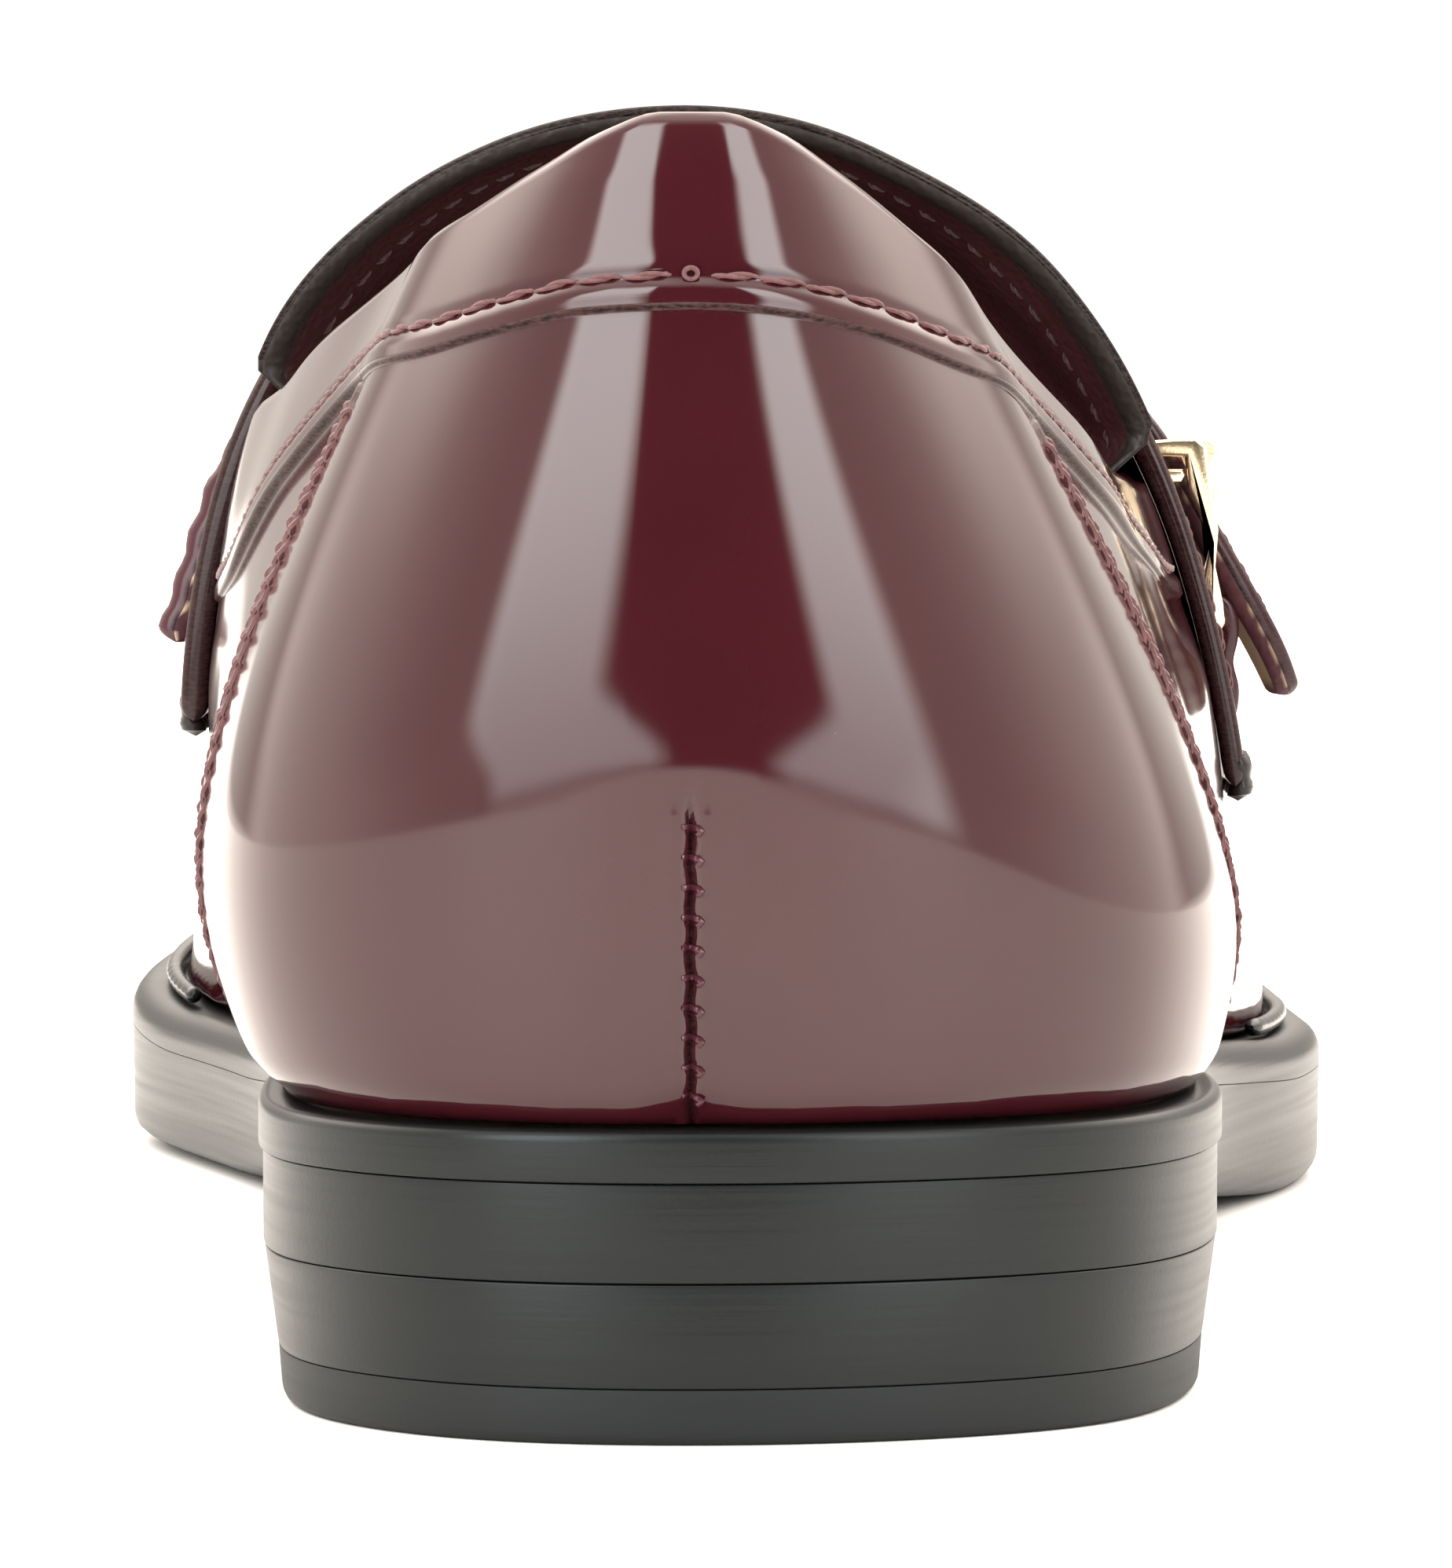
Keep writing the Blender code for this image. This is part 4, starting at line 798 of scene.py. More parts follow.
def make_upper(looks):
    half = steps_of(WALL_STATIONS)
    half[-1] = ROUND
    u = np.concatenate([-half[:0:-1], half])
    rise = steps_of(WALL_RISES)
    points, _, raw, fine = wall_points(u[None, :], rise[:, None])
    points = calmed(points)
    mesh_data = started("raw_edge", "wrinkles")
    grid(mesh_data, points, 0, raw_edge=raw, wrinkles=fine)
    lining = calmed(lining_points(u))
    blank = np.zeros(lining.shape[:2])
    grid(mesh_data, lining, 1, raw_edge=blank, wrinkles=blank)
    foot = np.stack([points[0], lining[-1]])
    grid(mesh_data, foot, 1, raw_edge=blank[:2], wrinkles=blank[:2])
    stations = slanted(u, 1.0)
    open_top = LAST.level(stations, line_height(stations, "topline") - TOP_ROLL) < 1.9995
    first, last = np.flatnonzero(open_top)[[0, -1]]
    mouth = slice(first - 1, last + 2)
    roll = mouth_roll(u)
    roll[0], roll[-1] = points[-1], lining[0]
    roll = roll[:, mouth]
    blank = np.zeros(roll.shape[:2])
    grid(mesh_data, roll, 0, raw_edge=blank, wrinkles=blank)
    return finish("shoe_upper", mesh_data, looks, "burgundy_leather", ("upper",), smooth=60.0)


# Stitching


def make_collar_stitches(look, thread):
    mesh_data = bmesh.new()
    rise = 1 + (COLLAR_STITCH_RISE - LINE_LOW) / (LINE_HIGH - LINE_LOW)
    for start, end in ((-1.2, -127.0), (1.2, 127.0)):
        u = np.linspace(start, end, 260)
        path, out, _, _ = wall_points(u, np.full(len(u), rise))
        thread_row(mesh_data, path, out, COLLAR_PITCH, COLLAR_PITCH * 1.1, thread, 0.12, lean=0.3)
    knot, out, _, _ = wall_points(np.linspace(0.9, -0.9, 15), np.full(15, rise))
    turn = np.linspace(0, 2 * math.pi, 15)
    centre, rise_out = knot[7], out[7]
    ring = centre + np.outer(np.cos(turn), (0.42, 0, 0)) + np.outer(np.sin(turn), (0, 0, 0.36))
    ring = ring + rise_out * 0.22
    side = unit(ring - centre)
    tube(mesh_data, ring, side, np.tile(rise_out, (15, 1)), thread * 0.7)
    return finish("collar_stitches", mesh_data, [look], "burgundy_leather")


def make_counter_stitches(look, thread):
    mesh_data = bmesh.new()
    for sign in (-1, 1):
        for row, offset in zip(SEAM_ROWS, (0.0, 0.5)):
            rise = np.linspace(1.05, 0.015, 220)
            path, out, _, _ = wall_points(sign * (COUNTER_TOP - row) + 0 * rise, rise)
            thread_row(
                mesh_data, path, out, SEAM_PITCH, SEAM_PITCH * 1.6, thread * 1.7, 0.1,
                offset * SEAM_PITCH, lean=(1 - 4 * offset) * 0.28 * sign,
            )
    return finish("counter_stitches", mesh_data, [look], "burgundy_leather")


def make_dart_stitches(look, thread):
    mesh_data = bmesh.new()
    line = line_height(np.zeros(1), "line")[0]
    foot = LAST.feather(np.zeros(1))[0, 2]
    for k in range(10):
        z = DART_TOP - 2.4 - 1.87 * k
        rise = (z - foot) / (line + LINE_LOW - foot)
        share = np.linspace(0, 1, 13)
        u = -0.34 + 0.8 * np.minimum(share / 0.75, 1) - 0.2 * np.maximum(share - 0.75, 0) / 0.25
        path, out, _, _ = wall_points(u, np.full(13, rise))
        path = path + out * (0.22 * np.sin(math.pi * share) ** 0.7 - 0.06)[:, None]
        path[:, 2] += 0.12 * (1 - share) - 0.45 * np.maximum(share - 0.6, 0) / 0.4
        ahead = unit(np.gradient(path, axis=0))
        tube(mesh_data, path, unit(np.cross(out, ahead)), out, thread * 0.8)
    return finish("dart_stitches", mesh_data, [look], "burgundy_leather")


def make_apron_stitches(look, thread):
    """Whip stitches over the raised seam round the vamp."""
    mesh_data = bmesh.new()
    near_line = 1 + (np.linspace(-1.45, 1.6, 11) - LINE_LOW) / (LINE_HIGH - LINE_LOW)
    count = int(2 * (ROUND - SEAM_START - 3) / APRON_PITCH)
    for k in range(count):
        u = SEAM_START + 3 + APRON_PITCH * (k + 0.5)
        u = u if u < ROUND else u - 2 * ROUND
        path, out, _, _ = wall_points(np.linspace(u - 0.5, u + 0.5, 11), near_line)
        share = np.linspace(0, 1, 11)
        path = path + out * (0.25 * np.sin(math.pi * share) ** 0.5 - 0.12)[:, None]
        ahead = unit(np.gradient(path, axis=0))
        tube(mesh_data, path, unit(np.cross(out, ahead)), out, thread * 1.1)
    return finish("apron_stitches", mesh_data, [look], "burgundy_leather")


# Pieces that lie across the instep


def across(q, s, low_in, low_out):
    """Stations and v for shares q across the instep, from -1 low on the inner side to 1 low on the outer."""
    u = np.where(q < 0, station(s, -1), station(s, 1))
    v_low = LAST.level(u, np.where(q < 0, low_in, low_out))
    return u, 2 - np.abs(q) * (2 - v_low)


TONGUE_EDGE, TONGUE_FRONT = 107.0, 154.0
TONGUE_LOW = (57.0, 51.0)
TONGUE_FREE, TONGUE_TUCKED, TUCK = 117.5, 126.0, 0.6
# How far the tongue's rear edge curls off the last, by its share of the way across the instep.
TONGUE_CURL = (
    (-1.0, 2.8), (-0.8, 2.8), (-0.5, 1.2), (-0.3, 0.7), (0.0, 0.6),
    (0.3, 0.6), (0.6, 2.2), (0.85, 2.9), (1.0, 2.6),
)
TONGUE_RIM, TONGUE_SEAM = 0.85, 3.6
SADDLE_REAR, SADDLE_FRONT, SADDLE_RIM, SADDLE_SEAM = 115.0, 152.0, 0.75, 2.6
SADDLE_LOW = (40.5, 35.5)
BAND_LENGTH = 92.0


def band_grid(rear, front, low, q, f, offset):
    """Points and outward directions on the last between two edges across the instep."""
    q, f = np.meshgrid(q, f)
    s = rear(q) + (front(q) - rear(q)) * f
    u, v = across(q, s, *low)
    out = LAST.normal(u, v)
    return LAST.at(u, v) + out * offset(q, s, u, v)[..., None], out


def tongue_off(q, s, u, v):
    """The tongue is tucked under the quarters and the vamp, and comes out of the mouth behind them."""
    shape = np.shape(u)
    opening = line_height((u + 4 * np.sign(u)).ravel(), "topline").reshape(shape)
    free = blend((TONGUE_TUCKED - s) / (TONGUE_TUCKED - TONGUE_FREE))
    free = free * blend((LAST.at(u, v)[..., 2] - opening - 0.4) / 2.0)
    curl = steady(*np.array(TONGUE_CURL).T, q) * blend((TONGUE_FREE - 3.0 - s) / 7.0)
    return (curl - 0.05) * free - (LEATHER + FIT + TUCK) * (1 - free) - TONGUE_LEATHER / 2


def tongue_grid(q, f):
    """The tongue's middle surface, whose rear edge bows forward towards its sides."""
    return band_grid(
        lambda q: TONGUE_EDGE + 4.0 * np.abs(q) ** 2, lambda q: TONGUE_FRONT + 0 * q,
        TONGUE_LOW, q, f, tongue_off,
    )


def make_tongue(looks):
    q_places = rimmed(BAND_LENGTH, TONGUE_RIM, 110)
    f_places = rimmed(TONGUE_FRONT - TONGUE_EDGE, TONGUE_RIM, 42)
    middle, out = tongue_grid(q_places / BAND_LENGTH * 2 - 1, f_places / f_places[-1])
    from_side = np.minimum(q_places, BAND_LENGTH - q_places)
    share = swell(f_places, TONGUE_RIM)[:, None] * swell(f_places[-1] - f_places, TONGUE_RIM)[:, None]
    share = share * swell(from_side, TONGUE_RIM)[None, :]
    painted = 1 - ramp((np.minimum(f_places[:, None], from_side[None, :]) - 1.2) / 0.3)
    pressed = 0.14 * bell((f_places - 1.9) / 0.4) + 0.16 * bell((f_places - TONGUE_SEAM) / 0.5)
    share = share * (1 - pressed[:, None] / TONGUE_LEATHER)
    mesh_data = started("raw_edge", "wrinkles")
    sheet(
        mesh_data, middle, out, TONGUE_LEATHER / 2, share, 0, 1,
        raw_edge=painted, wrinkles=np.zeros(painted.shape),
    )
    return finish("shoe_tongue", mesh_data, looks, "lining_leather", ("tongue",), smooth=60.0)


def make_tongue_stitches(look, thread):
    """The seam just inside the tongue's edge, seen on its lining and on its face."""
    mesh_data = bmesh.new()
    q = np.linspace(-0.96, 0.96, 300)
    for side in (-1, 1):
        middle, out = tongue_grid(q, np.array([TONGUE_SEAM / (TONGUE_FRONT - TONGUE_EDGE)]))
        out = out[0] * side
        path = middle[0] + out * (TONGUE_LEATHER / 2 - 0.1)
        thread_row(mesh_data, path, out, 2.2, 1.75, thread * 0.8, 0.12)
    return finish("tongue_stitches", mesh_data, [look], "lining_leather")


def saddle_off(q, s, u, v):
    """The saddle's middle surface: on its outer side it is thinner and lies closer."""
    return SADDLE_GAP + SADDLE_LEATHER * saddle_share(q) / 2


def saddle_share(q):
    """How thick the saddle is across the instep, as a share of its leather."""
    return 1 - 0.22 * ramp((q - 0.55) / 0.3)


def saddle_edges():
    """The saddle's rear and front edge, as functions of the place across the instep."""
    return lambda q: SADDLE_REAR + 2.5 * (1 - np.abs(q)) ** 2, lambda q: SADDLE_FRONT - 4.0 * np.abs(q) ** 2


def make_saddle(looks):
    q_places = rimmed(BAND_LENGTH, SADDLE_RIM, 130)
    f_places = rimmed(SADDLE_FRONT - SADDLE_REAR, SADDLE_RIM, 40)
    q, f = q_places / BAND_LENGTH * 2 - 1, f_places / f_places[-1]
    rear, front = saddle_edges()
    middle, out = band_grid(rear, front, SADDLE_LOW, q, f, saddle_off)
    from_side = np.minimum(q_places, BAND_LENGTH - q_places)
    from_end = np.minimum(f_places, f_places[-1] - f_places)
    share = swell(from_end, SADDLE_RIM)[:, None] * swell(from_side, SADDLE_RIM)[None, :]
    pressed = 0.22 * bell((from_end - SADDLE_SEAM) / 0.45)[:, None] * ramp((from_side - 3) / 2)[None, :]
    share = share * (1 - pressed / SADDLE_LEATHER) * saddle_share(q)[None, :]
    raw = 0.62 * (1 - ramp((np.minimum(from_end[:, None], from_side[None, :]) - 0.55) / 0.35))
    uneven = 0.05 * ripple(q[None, :] * 2.0, f[:, None] * 1.3, seed=8)
    middle = middle + out * uneven[..., None] * share[..., None]
    mesh_data = started("raw_edge", "wrinkles")
    sheet(mesh_data, middle, out, SADDLE_LEATHER / 2, share, raw_edge=raw, wrinkles=np.zeros(raw.shape))
    return finish("shoe_saddle", mesh_data, looks, "burgundy_leather", ("saddle",), smooth=60.0)


def make_saddle_stitches(look, thread):
    mesh_data = bmesh.new()
    q = np.linspace(-0.94, 0.94, 400)
    rear, front = saddle_edges()
    for f in (SADDLE_SEAM / 37.0, 1 - SADDLE_SEAM / 33.0):
        middle, out = band_grid(rear, front, SADDLE_LOW, q, np.array([f]), saddle_off)
        path = middle[0] + out[0] * (SADDLE_LEATHER / 2 - 0.14)
        thread_row(mesh_data, path, out[0], 2.9, 2.5, thread * 0.95, 0.12)
    return finish("saddle_stitches", mesh_data, [look], "burgundy_leather")


def make_saddle_rolls(look):
    """The saddle's sewn-down ends: short rolls of leather bound side by side with thread."""
    mesh_data = bmesh.new()
    for sign, low in ((-1, SADDLE_LOW[0]), (1, SADDLE_LOW[1])):
        for k in range(7):
            s = SADDLE_REAR + 1.6 + 4.6 * k
            u = np.full(9, station(s, sign))
            z = np.linspace(low - 1.2, low + 2.6, 9)
            v = LAST.level(u, z)
            out = LAST.normal(u, v)
            path = LAST.at(u, v) + out * (SADDLE_GAP + 0.95 + 0.2 * (k % 2))
            path = path + out * (0.35 * np.sin(np.linspace(0, math.pi, 9)))[:, None]
            ahead = unit(np.gradient(path, axis=0))
            from_ends = np.linspace(0, 4.6, 9) * np.linspace(4.6, 0, 9)
            thick = (1.05 + 0.1 * math.sin(2.3 * k)) * swell(from_ends, 4.0)
            thick = thick * (1 - 0.3 * bell((np.linspace(-2, 2, 9) + 0.3) / 0.45))
            wide = unit(np.cross(out, ahead)) * 1.5
            tube(mesh_data, path, wide, out, thick, sides=14)
    return finish("saddle_rolls", mesh_data, [look], "burgundy_leather")


# The strap, its tab and the buckle. Places are in the last's own x and z.
STRAP_MIDDLE, STRAP_HALF = 130.5, 6.5
STRAP_LOW = (45.5, 61.0)
STRAP_TAIL = ((32.9, 58.9), (34.3, 56.3), (36.0, 53.3), (38.8, 48.3), (40.9, 44.3), (42.0, 41.6))
TAIL_TWIST, STRAP_RIM = 0.3, 0.85
# The holes' distances from the tip, and their radius.
HOLES, HOLE_RADIUS = (9.0, 14.0), 0.75
SADDLE_FACE = SADDLE_GAP + SADDLE_LEATHER
# The strap's width towards its tip, as a share, by the distance from it.
TIP = ((0, 0.18), (0.6, 0.42), (1.5, 0.62), (3, 0.79), (5, 0.9), (8, 0.98), (10.5, 1.0))


def left_of(flat, *places):
    """The directions to the left of a flat path."""
    turn = np.gradient(flat, *places, axis=0)
    return unit(np.column_stack([-turn[:, 1], turn[:, 0]]))


def upright(flat, s):
    """A flat path in x and z, stood upright across the shoe at s."""
    return np.column_stack([flat[:, 0], np.full(len(flat), s), flat[:, 1]])


def strap_line(s):
    """The strap's middle line at s, from its sewn end to the tip, and its outward directions."""
    q = np.linspace(-1, 1, 25)
    u, v = across(q, np.full(q.shape, s), *STRAP_LOW)
    base, out = LAST.at(u, v), LAST.normal(u, v)
    worn = base + out * (SADDLE_FACE + FIT)
    path = np.vstack([worn[-2:, (0, 2)], np.array(STRAP_TAIL)])
    along = run_along(path)
    tail = Spline(along, path).at(np.linspace(along[1], along[-1], 33))
    side = left_of(tail)
    turned = TAIL_TWIST * (0.2 - (s - STRAP_MIDDLE) / STRAP_HALF) * np.linspace(0, 1, 33)
    tail = upright(np.column_stack([tail[:, 0] + turned, tail[:, 1]]), worn[-1, 1])
    side = upright(side, 0.0)
    path, out = np.vstack([worn, tail[1:]]), np.vstack([out, side[1:]])
    return path + out * STRAP_LEATHER / 2, out


def strap_grid(f):
    """The strap's middle surface: a line for each share f of its half width, and places along it."""
    rows, outs = [], []
    for part in f:
        path, out = strap_line(STRAP_MIDDLE + part * STRAP_HALF)
        places = rimmed(run_along(path)[-1], 0.9, 150)
        points, directions = resample(path, out, places)
        from_tip = places[-1] - places
        taper = np.interp(from_tip, *np.array(TIP).T)
        points[:, 1] += part * STRAP_HALF * (taper - 1)
        rows.append(points)
        outs.append(directions)
    return np.array(rows), np.array(outs), places


def make_strap(looks):
    across_places = rimmed(2 * STRAP_HALF, STRAP_RIM, 16)
    f = across_places / STRAP_HALF - 1
    middle, out, places = strap_grid(f)
    from_side = np.minimum(across_places, 2 * STRAP_HALF - across_places)[:, None]
    from_end = np.minimum(places, places[-1] - places)[None, :]
    share = swell(from_side, STRAP_RIM) * swell(from_end, STRAP_RIM)
    sewn = ramp((17.0 - places) / 6.0)[None, :]
    puckers = np.sin(2 * math.pi * places / 3.4)[None, :] * sewn * bell((np.abs(f)[:, None] - 0.8) / 0.3)
    middle = middle + out * (0.2 * puckers + 0.55 * bell((places - 1.5)[None, :] / 1.5))[..., None]
    pressed = 0.2 * bell((from_side - 2.0) / 0.4) * ramp((from_end - 2.0) / 1.5)
    share = share * (1 - pressed / STRAP_LEATHER)
    share = share * (1 - 0.15 * bell(from_end / 4.0) + 0.35 * sewn)
    rim_raw = 0.5 * (1 - ramp((from_side - 0.5) / 0.3)) * (1 - sewn)
    inked = 1 - ramp((np.minimum(from_side, from_end) - 0.8) / 0.3) * (1 - sewn)
    lift = out * (STRAP_LEATHER / 2 * share)[..., None]
    mesh_data = started("raw_edge", "wrinkles")
    grid(mesh_data, middle + lift, 0, raw_edge=rim_raw, wrinkles=0 * share)
    grid(mesh_data, middle - lift, 1, raw_edge=inked, wrinkles=0 * share)
    return finish("shoe_strap", mesh_data, looks, "strap_leather", ("strap",), smooth=60.0)


def make_strap_stitches(look, thread):
    mesh_data = bmesh.new()
    for f in (-0.69, 0.69):
        middle, out, places = strap_grid([f])
        inside = (places > 3.0) & (places < places[-1] - 5.0)
        path = middle[0][inside] + out[0][inside] * (STRAP_LEATHER / 2 - 0.12)
        thread_row(mesh_data, path, out[0][inside], 2.6, 2.2, thread * 0.85, 0.1)
    return finish("strap_stitches", mesh_data, [look], "strap_leather")


def make_strap_holes(look):
    """Punched holes down the middle of the strap's free end, as dark dishes let into its face: they do not go
    through, and their dark colour is painted shade for the holes' hollows.
    """
    mesh_data = bmesh.new()
    middle, out, places = strap_grid([0.0])
    for from_tip in HOLES:
        spot = np.argmin(np.abs(places - (places[-1] - from_tip)))
        centre, rise = middle[0, spot], out[0, spot]
        ahead = unit(middle[0, spot + 1] - middle[0, spot - 1])
        side = np.cross(rise, ahead)
        turn = np.linspace(0, 2 * math.pi, 17)
        rim = centre + np.outer(np.cos(turn), ahead) * HOLE_RADIUS
        rim = rim + np.outer(np.sin(turn), side) * HOLE_RADIUS
        face = rim + rise * (STRAP_LEATHER / 2 + 0.03)
        base = rim + rise * (STRAP_LEATHER / 2 - 0.4)
        middle_over = np.tile(centre + rise * (STRAP_LEATHER / 2 - 0.15), (17, 1))
        middle_under = np.tile(centre + rise * (STRAP_LEATHER / 2 - 0.4), (17, 1))
        # The whole dish is dark: painted shade in place of the hole's hollow.
        grid(mesh_data, np.stack([middle_over, face, base, middle_under]))
    return finish("strap_holes", mesh_data, [look], "strap_leather")


TAB_HALF, TAB_LEATHER, TAB_RIM = 5.5, 1.4, 0.6
TAB_PATH = ((36.55, 40.0), (36.5, 42.5), (36.2, 45.0), (36.0, 47.0), (36.6, 48.9), (37.9, 49.1), (38.5, 47.6))
TAB_OUTER = ((38.4, 46.2), (38.1, 44.6), (38.5, 42.8), (38.4, 41.0), (38.0, 39.7))


def make_tab(looks):
    """The tab that holds the buckle: round the heel bar and back down, sewn to the saddle."""
    path = np.array(TAB_PATH + TAB_OUTER)
    along = run_along(path)
    places = rimmed(along[-1], TAB_RIM, 60)
    line = Spline(along, path).at(places)
    side = left_of(line, places)
    across_places = rimmed(2 * TAB_HALF, TAB_RIM, 10)
    middle = np.array([upright(line, STRAP_MIDDLE - TAB_HALF + distance) for distance in across_places])
    out = np.array([upright(side, 0.0)] * len(across_places))
    from_side = np.minimum(across_places, 2 * TAB_HALF - across_places)[:, None]
    from_end = np.minimum(places, places[-1] - places)[None, :]
    share = swell(from_side, TAB_RIM) * swell(from_end, TAB_RIM)
    raw = 0.3 * (1 - ramp((from_side - 0.4) / 0.3)) + 0 * share
    mesh_data = started("raw_edge", "wrinkles")
    sheet(mesh_data, middle, out, TAB_LEATHER / 2, share, raw_edge=raw, wrinkles=0 * share)
    return finish("shoe_tab", mesh_data, looks, "burgundy_leather", ("buckle_tab",), smooth=60.0)


# The buckle in x and z: a side bar's outline, the small plate inside it, the cross bars and the prong.
CHEEK = (
    (31.2, 61.55), (35.7, 61.75), (36.5, 61.2), (37.0, 57.5), (37.4, 54.8), (37.2, 52.0), (37.8, 49.2),
    (37.9, 47.8), (37.6, 47.0), (36.9, 46.9), (36.2, 47.3), (35.9, 48.3), (36.3, 51.2), (36.8, 53.8),
    (36.1, 55.8), (35.1, 58.0), (34.9, 60.35), (31.2, 60.45),
)
PLATE = ((31.4, 59.45), (34.7, 59.4), (34.9, 58.9), (34.6, 58.4), (31.4, 58.45))
CHEEK_THICK, CHEEK_GAP, BUCKLE_MIDDLE = 1.8, 16.0, 131.4
TOP_BAR, HEEL_BAR, BAR_RADIUS = (36.35, 60.75), (37.2, 47.9), 0.8
PRONG_RADIUS = 0.55
PRONG = ((37.55, 56.9), (37.35, 57.9), (37.15, 58.9), (37.2, 60.0), (37.45, 61.0))


def prism(mesh_data, profile, start, end, soften):
    """A plate with rounded edges over an outline in x and z, from one place along the shoe to another."""
    corners = [mesh_data.verts.new(place((x, start, z))) for x, z in profile]
    face = mesh_data.faces.new(corners)
    grown = bmesh.ops.extrude_face_region(mesh_data, geom=[face])
    moved = [part for part in grown["geom"] if isinstance(part, bmesh.types.BMVert)]
    bmesh.ops.translate(mesh_data, vec=(0.0, (end - start) * MM, 0.0), verts=moved)
    edges = dict.fromkeys(edge for vertex in corners + moved for edge in vertex.link_edges)
    rim = [edge for edge in edges if abs(edge.verts[0].co.y - edge.verts[1].co.y) < 1e-6]
    bmesh.ops.bevel(
        mesh_data, geom=rim, offset=soften * MM, segments=3, profile=0.5, affect="EDGES", material=-1
    )


def bar(mesh_data, centre, radius, start, end):
    s = np.linspace(start, end, 9)
    path = np.column_stack([np.full(9, centre[0]), s, np.full(9, centre[1])])
    tube(mesh_data, path, np.tile((1.0, 0, 0), (9, 1)), np.tile((0, 0, 1.0), (9, 1)), radius, sides=20)


def make_buckle(look):
    mesh_data = bmesh.new()
    rear, front = BUCKLE_MIDDLE - CHEEK_GAP / 2, BUCKLE_MIDDLE + CHEEK_GAP / 2
    for start in (rear - CHEEK_THICK, front):
        prism(mesh_data, CHEEK, start, start + CHEEK_THICK, 0.28)
        prism(mesh_data, PLATE, start + 0.15, start + CHEEK_THICK - 0.15, 0.22)
    bar(mesh_data, TOP_BAR, BAR_RADIUS, rear - 0.4, front + 0.4)
    bar(mesh_data, HEEL_BAR, BAR_RADIUS, rear - 0.4, front + 0.4)
    return finish("shoe_buckle", mesh_data, [look], "pale_gold", ("buckle_frame",), smooth=35.0)


def make_prong(look):
    mesh_data = bmesh.new()
    path = Spline(np.arange(len(PRONG)), np.array(PRONG)).at(np.linspace(0, len(PRONG) - 1, 17))
    out, path = upright(left_of(path), 0.0), upright(path, STRAP_MIDDLE)
    thick = PRONG_RADIUS * swell(np.linspace(0, 9, 17)[::-1] + 0.4, 2.0)
    tube(mesh_data, path, np.tile((0, 1.0, 0), (17, 1)) * 1.2, out, thick, sides=14)
    return finish("shoe_prong", mesh_data, [look], "pale_gold", ("buckle_prong",))


# The sole

WAIST_START, WAIST_END, INSOLE_GAP, SOLE_SMOOTH = 70.0, 140.0, 0.7, 40.0
# One face of a plate as functions of s: its height, how far its edge stands in, and the edge's rounding.
Face = namedtuple("Face", "height inset rounding")
BALL_START, BALL_FULL, BALL_FADE, BALL_BEVEL = 90.0, 160.0, 40.0, 1.8
TREAD_PITCH, TREAD_DEPTH, JOINT = 4.2, 0.7, 0.05
# A plate's rows on each face, from its middle out, and in the rounding at its edge.
FACE_ROWS, EDGE_ROWS = 13, 7


def inner_ball(u):
    """1 along the ball's inner side, going to 0 at the waist and at the tip of the toe."""
    edge = LAST.controls[0].at(u)[:, 1]
    waist = blend((edge - BALL_START) / (BALL_FULL - BALL_START))
    return (u < 0) * waist * blend((TOE_END.edge + TOE_AXIS - edge) / BALL_FADE)


def plate(u, under, over, bevel=0.0, tread=False):
    """A closed plate over the outline between two faces, with rounded edges and a ribbed tread if asked."""
    edge = LAST.controls[0].at(u)[:, 1]
    middle = LAST.crown(u)[:, :2]
    turns = np.linspace(0, math.pi / 2, EDGE_ROWS)
    rows = []
    for face, wide, up in ((under, 1 + bevel * inner_ball(u), 1), (over, 1.0, -1)):
        inset, radius = face.inset(edge), face.rounding(edge)
        first = LAST.outline(u, inset + radius * wide)
        part = []
        for share in np.linspace(0, 0.96, FACE_ROWS):
            plan = middle + (first - middle) * share
            height = face.height(plan[:, 1], plan[:, 0])
            if tread and up > 0:
                ribs = ramp(np.cos(2 * math.pi * plan[:, 1] / TREAD_PITCH) * 1.6 - 0.2)
                ribs = ribs * ramp((plan[:, 1] - 100) / 8) * ramp((262 - plan[:, 1]) / 8) * (share < 0.9)
                height = height + TREAD_DEPTH * ribs
            part.append(np.column_stack([plan, height]))
        for turn in turns:
            plan = LAST.outline(u, inset + radius * wide * (1 - math.sin(turn)))
            height = face.height(plan[:, 1], plan[:, 0]) + up * radius * (1 - math.cos(turn))
            part.append(np.column_stack([plan, height]))
        rows += part if up > 0 else part[::-1]
    return np.array(rows)


def sole_columns(heel, side, toe):
    """Stations all round the sole, with the numbers of steps at heel, side and toe."""
    half = steps_of(((0.0, HEEL_FAN, heel), (HEEL_FAN, TOE_START, side), (TOE_START, ROUND, toe)))
    return np.concatenate([-half[:0:-1], half])


def fixed(value):
    """A size that is the same all along the shoe."""
    return lambda s: np.full(np.shape(s), value)


def towards_ball(heel, ball):
    """A size that goes from its value at the heel to its value at the ball."""
    return lambda s: heel + (ball - heel) * blend((s - WAIST_START) / (WAIST_END - WAIST_START))


def off_top(distance):
    """A height that keeps a distance from the sole's top."""
    return lambda s, x: sole_top(s) + distance


def make_welt(look):
    mesh_data = started()
    under = Face(off_top(-WELT_THICK), fixed(0.0), towards_ball(0.14, 0.07))
    over = Face(off_top(0.0), fixed(0.0), towards_ball(0.8, 2.3))
    grid(mesh_data, plate(sole_columns(44, 90, 56), under, over))
    return finish("shoe_welt", mesh_data, [look], "black_welt", ("welt",), smooth=SOLE_SMOOTH)


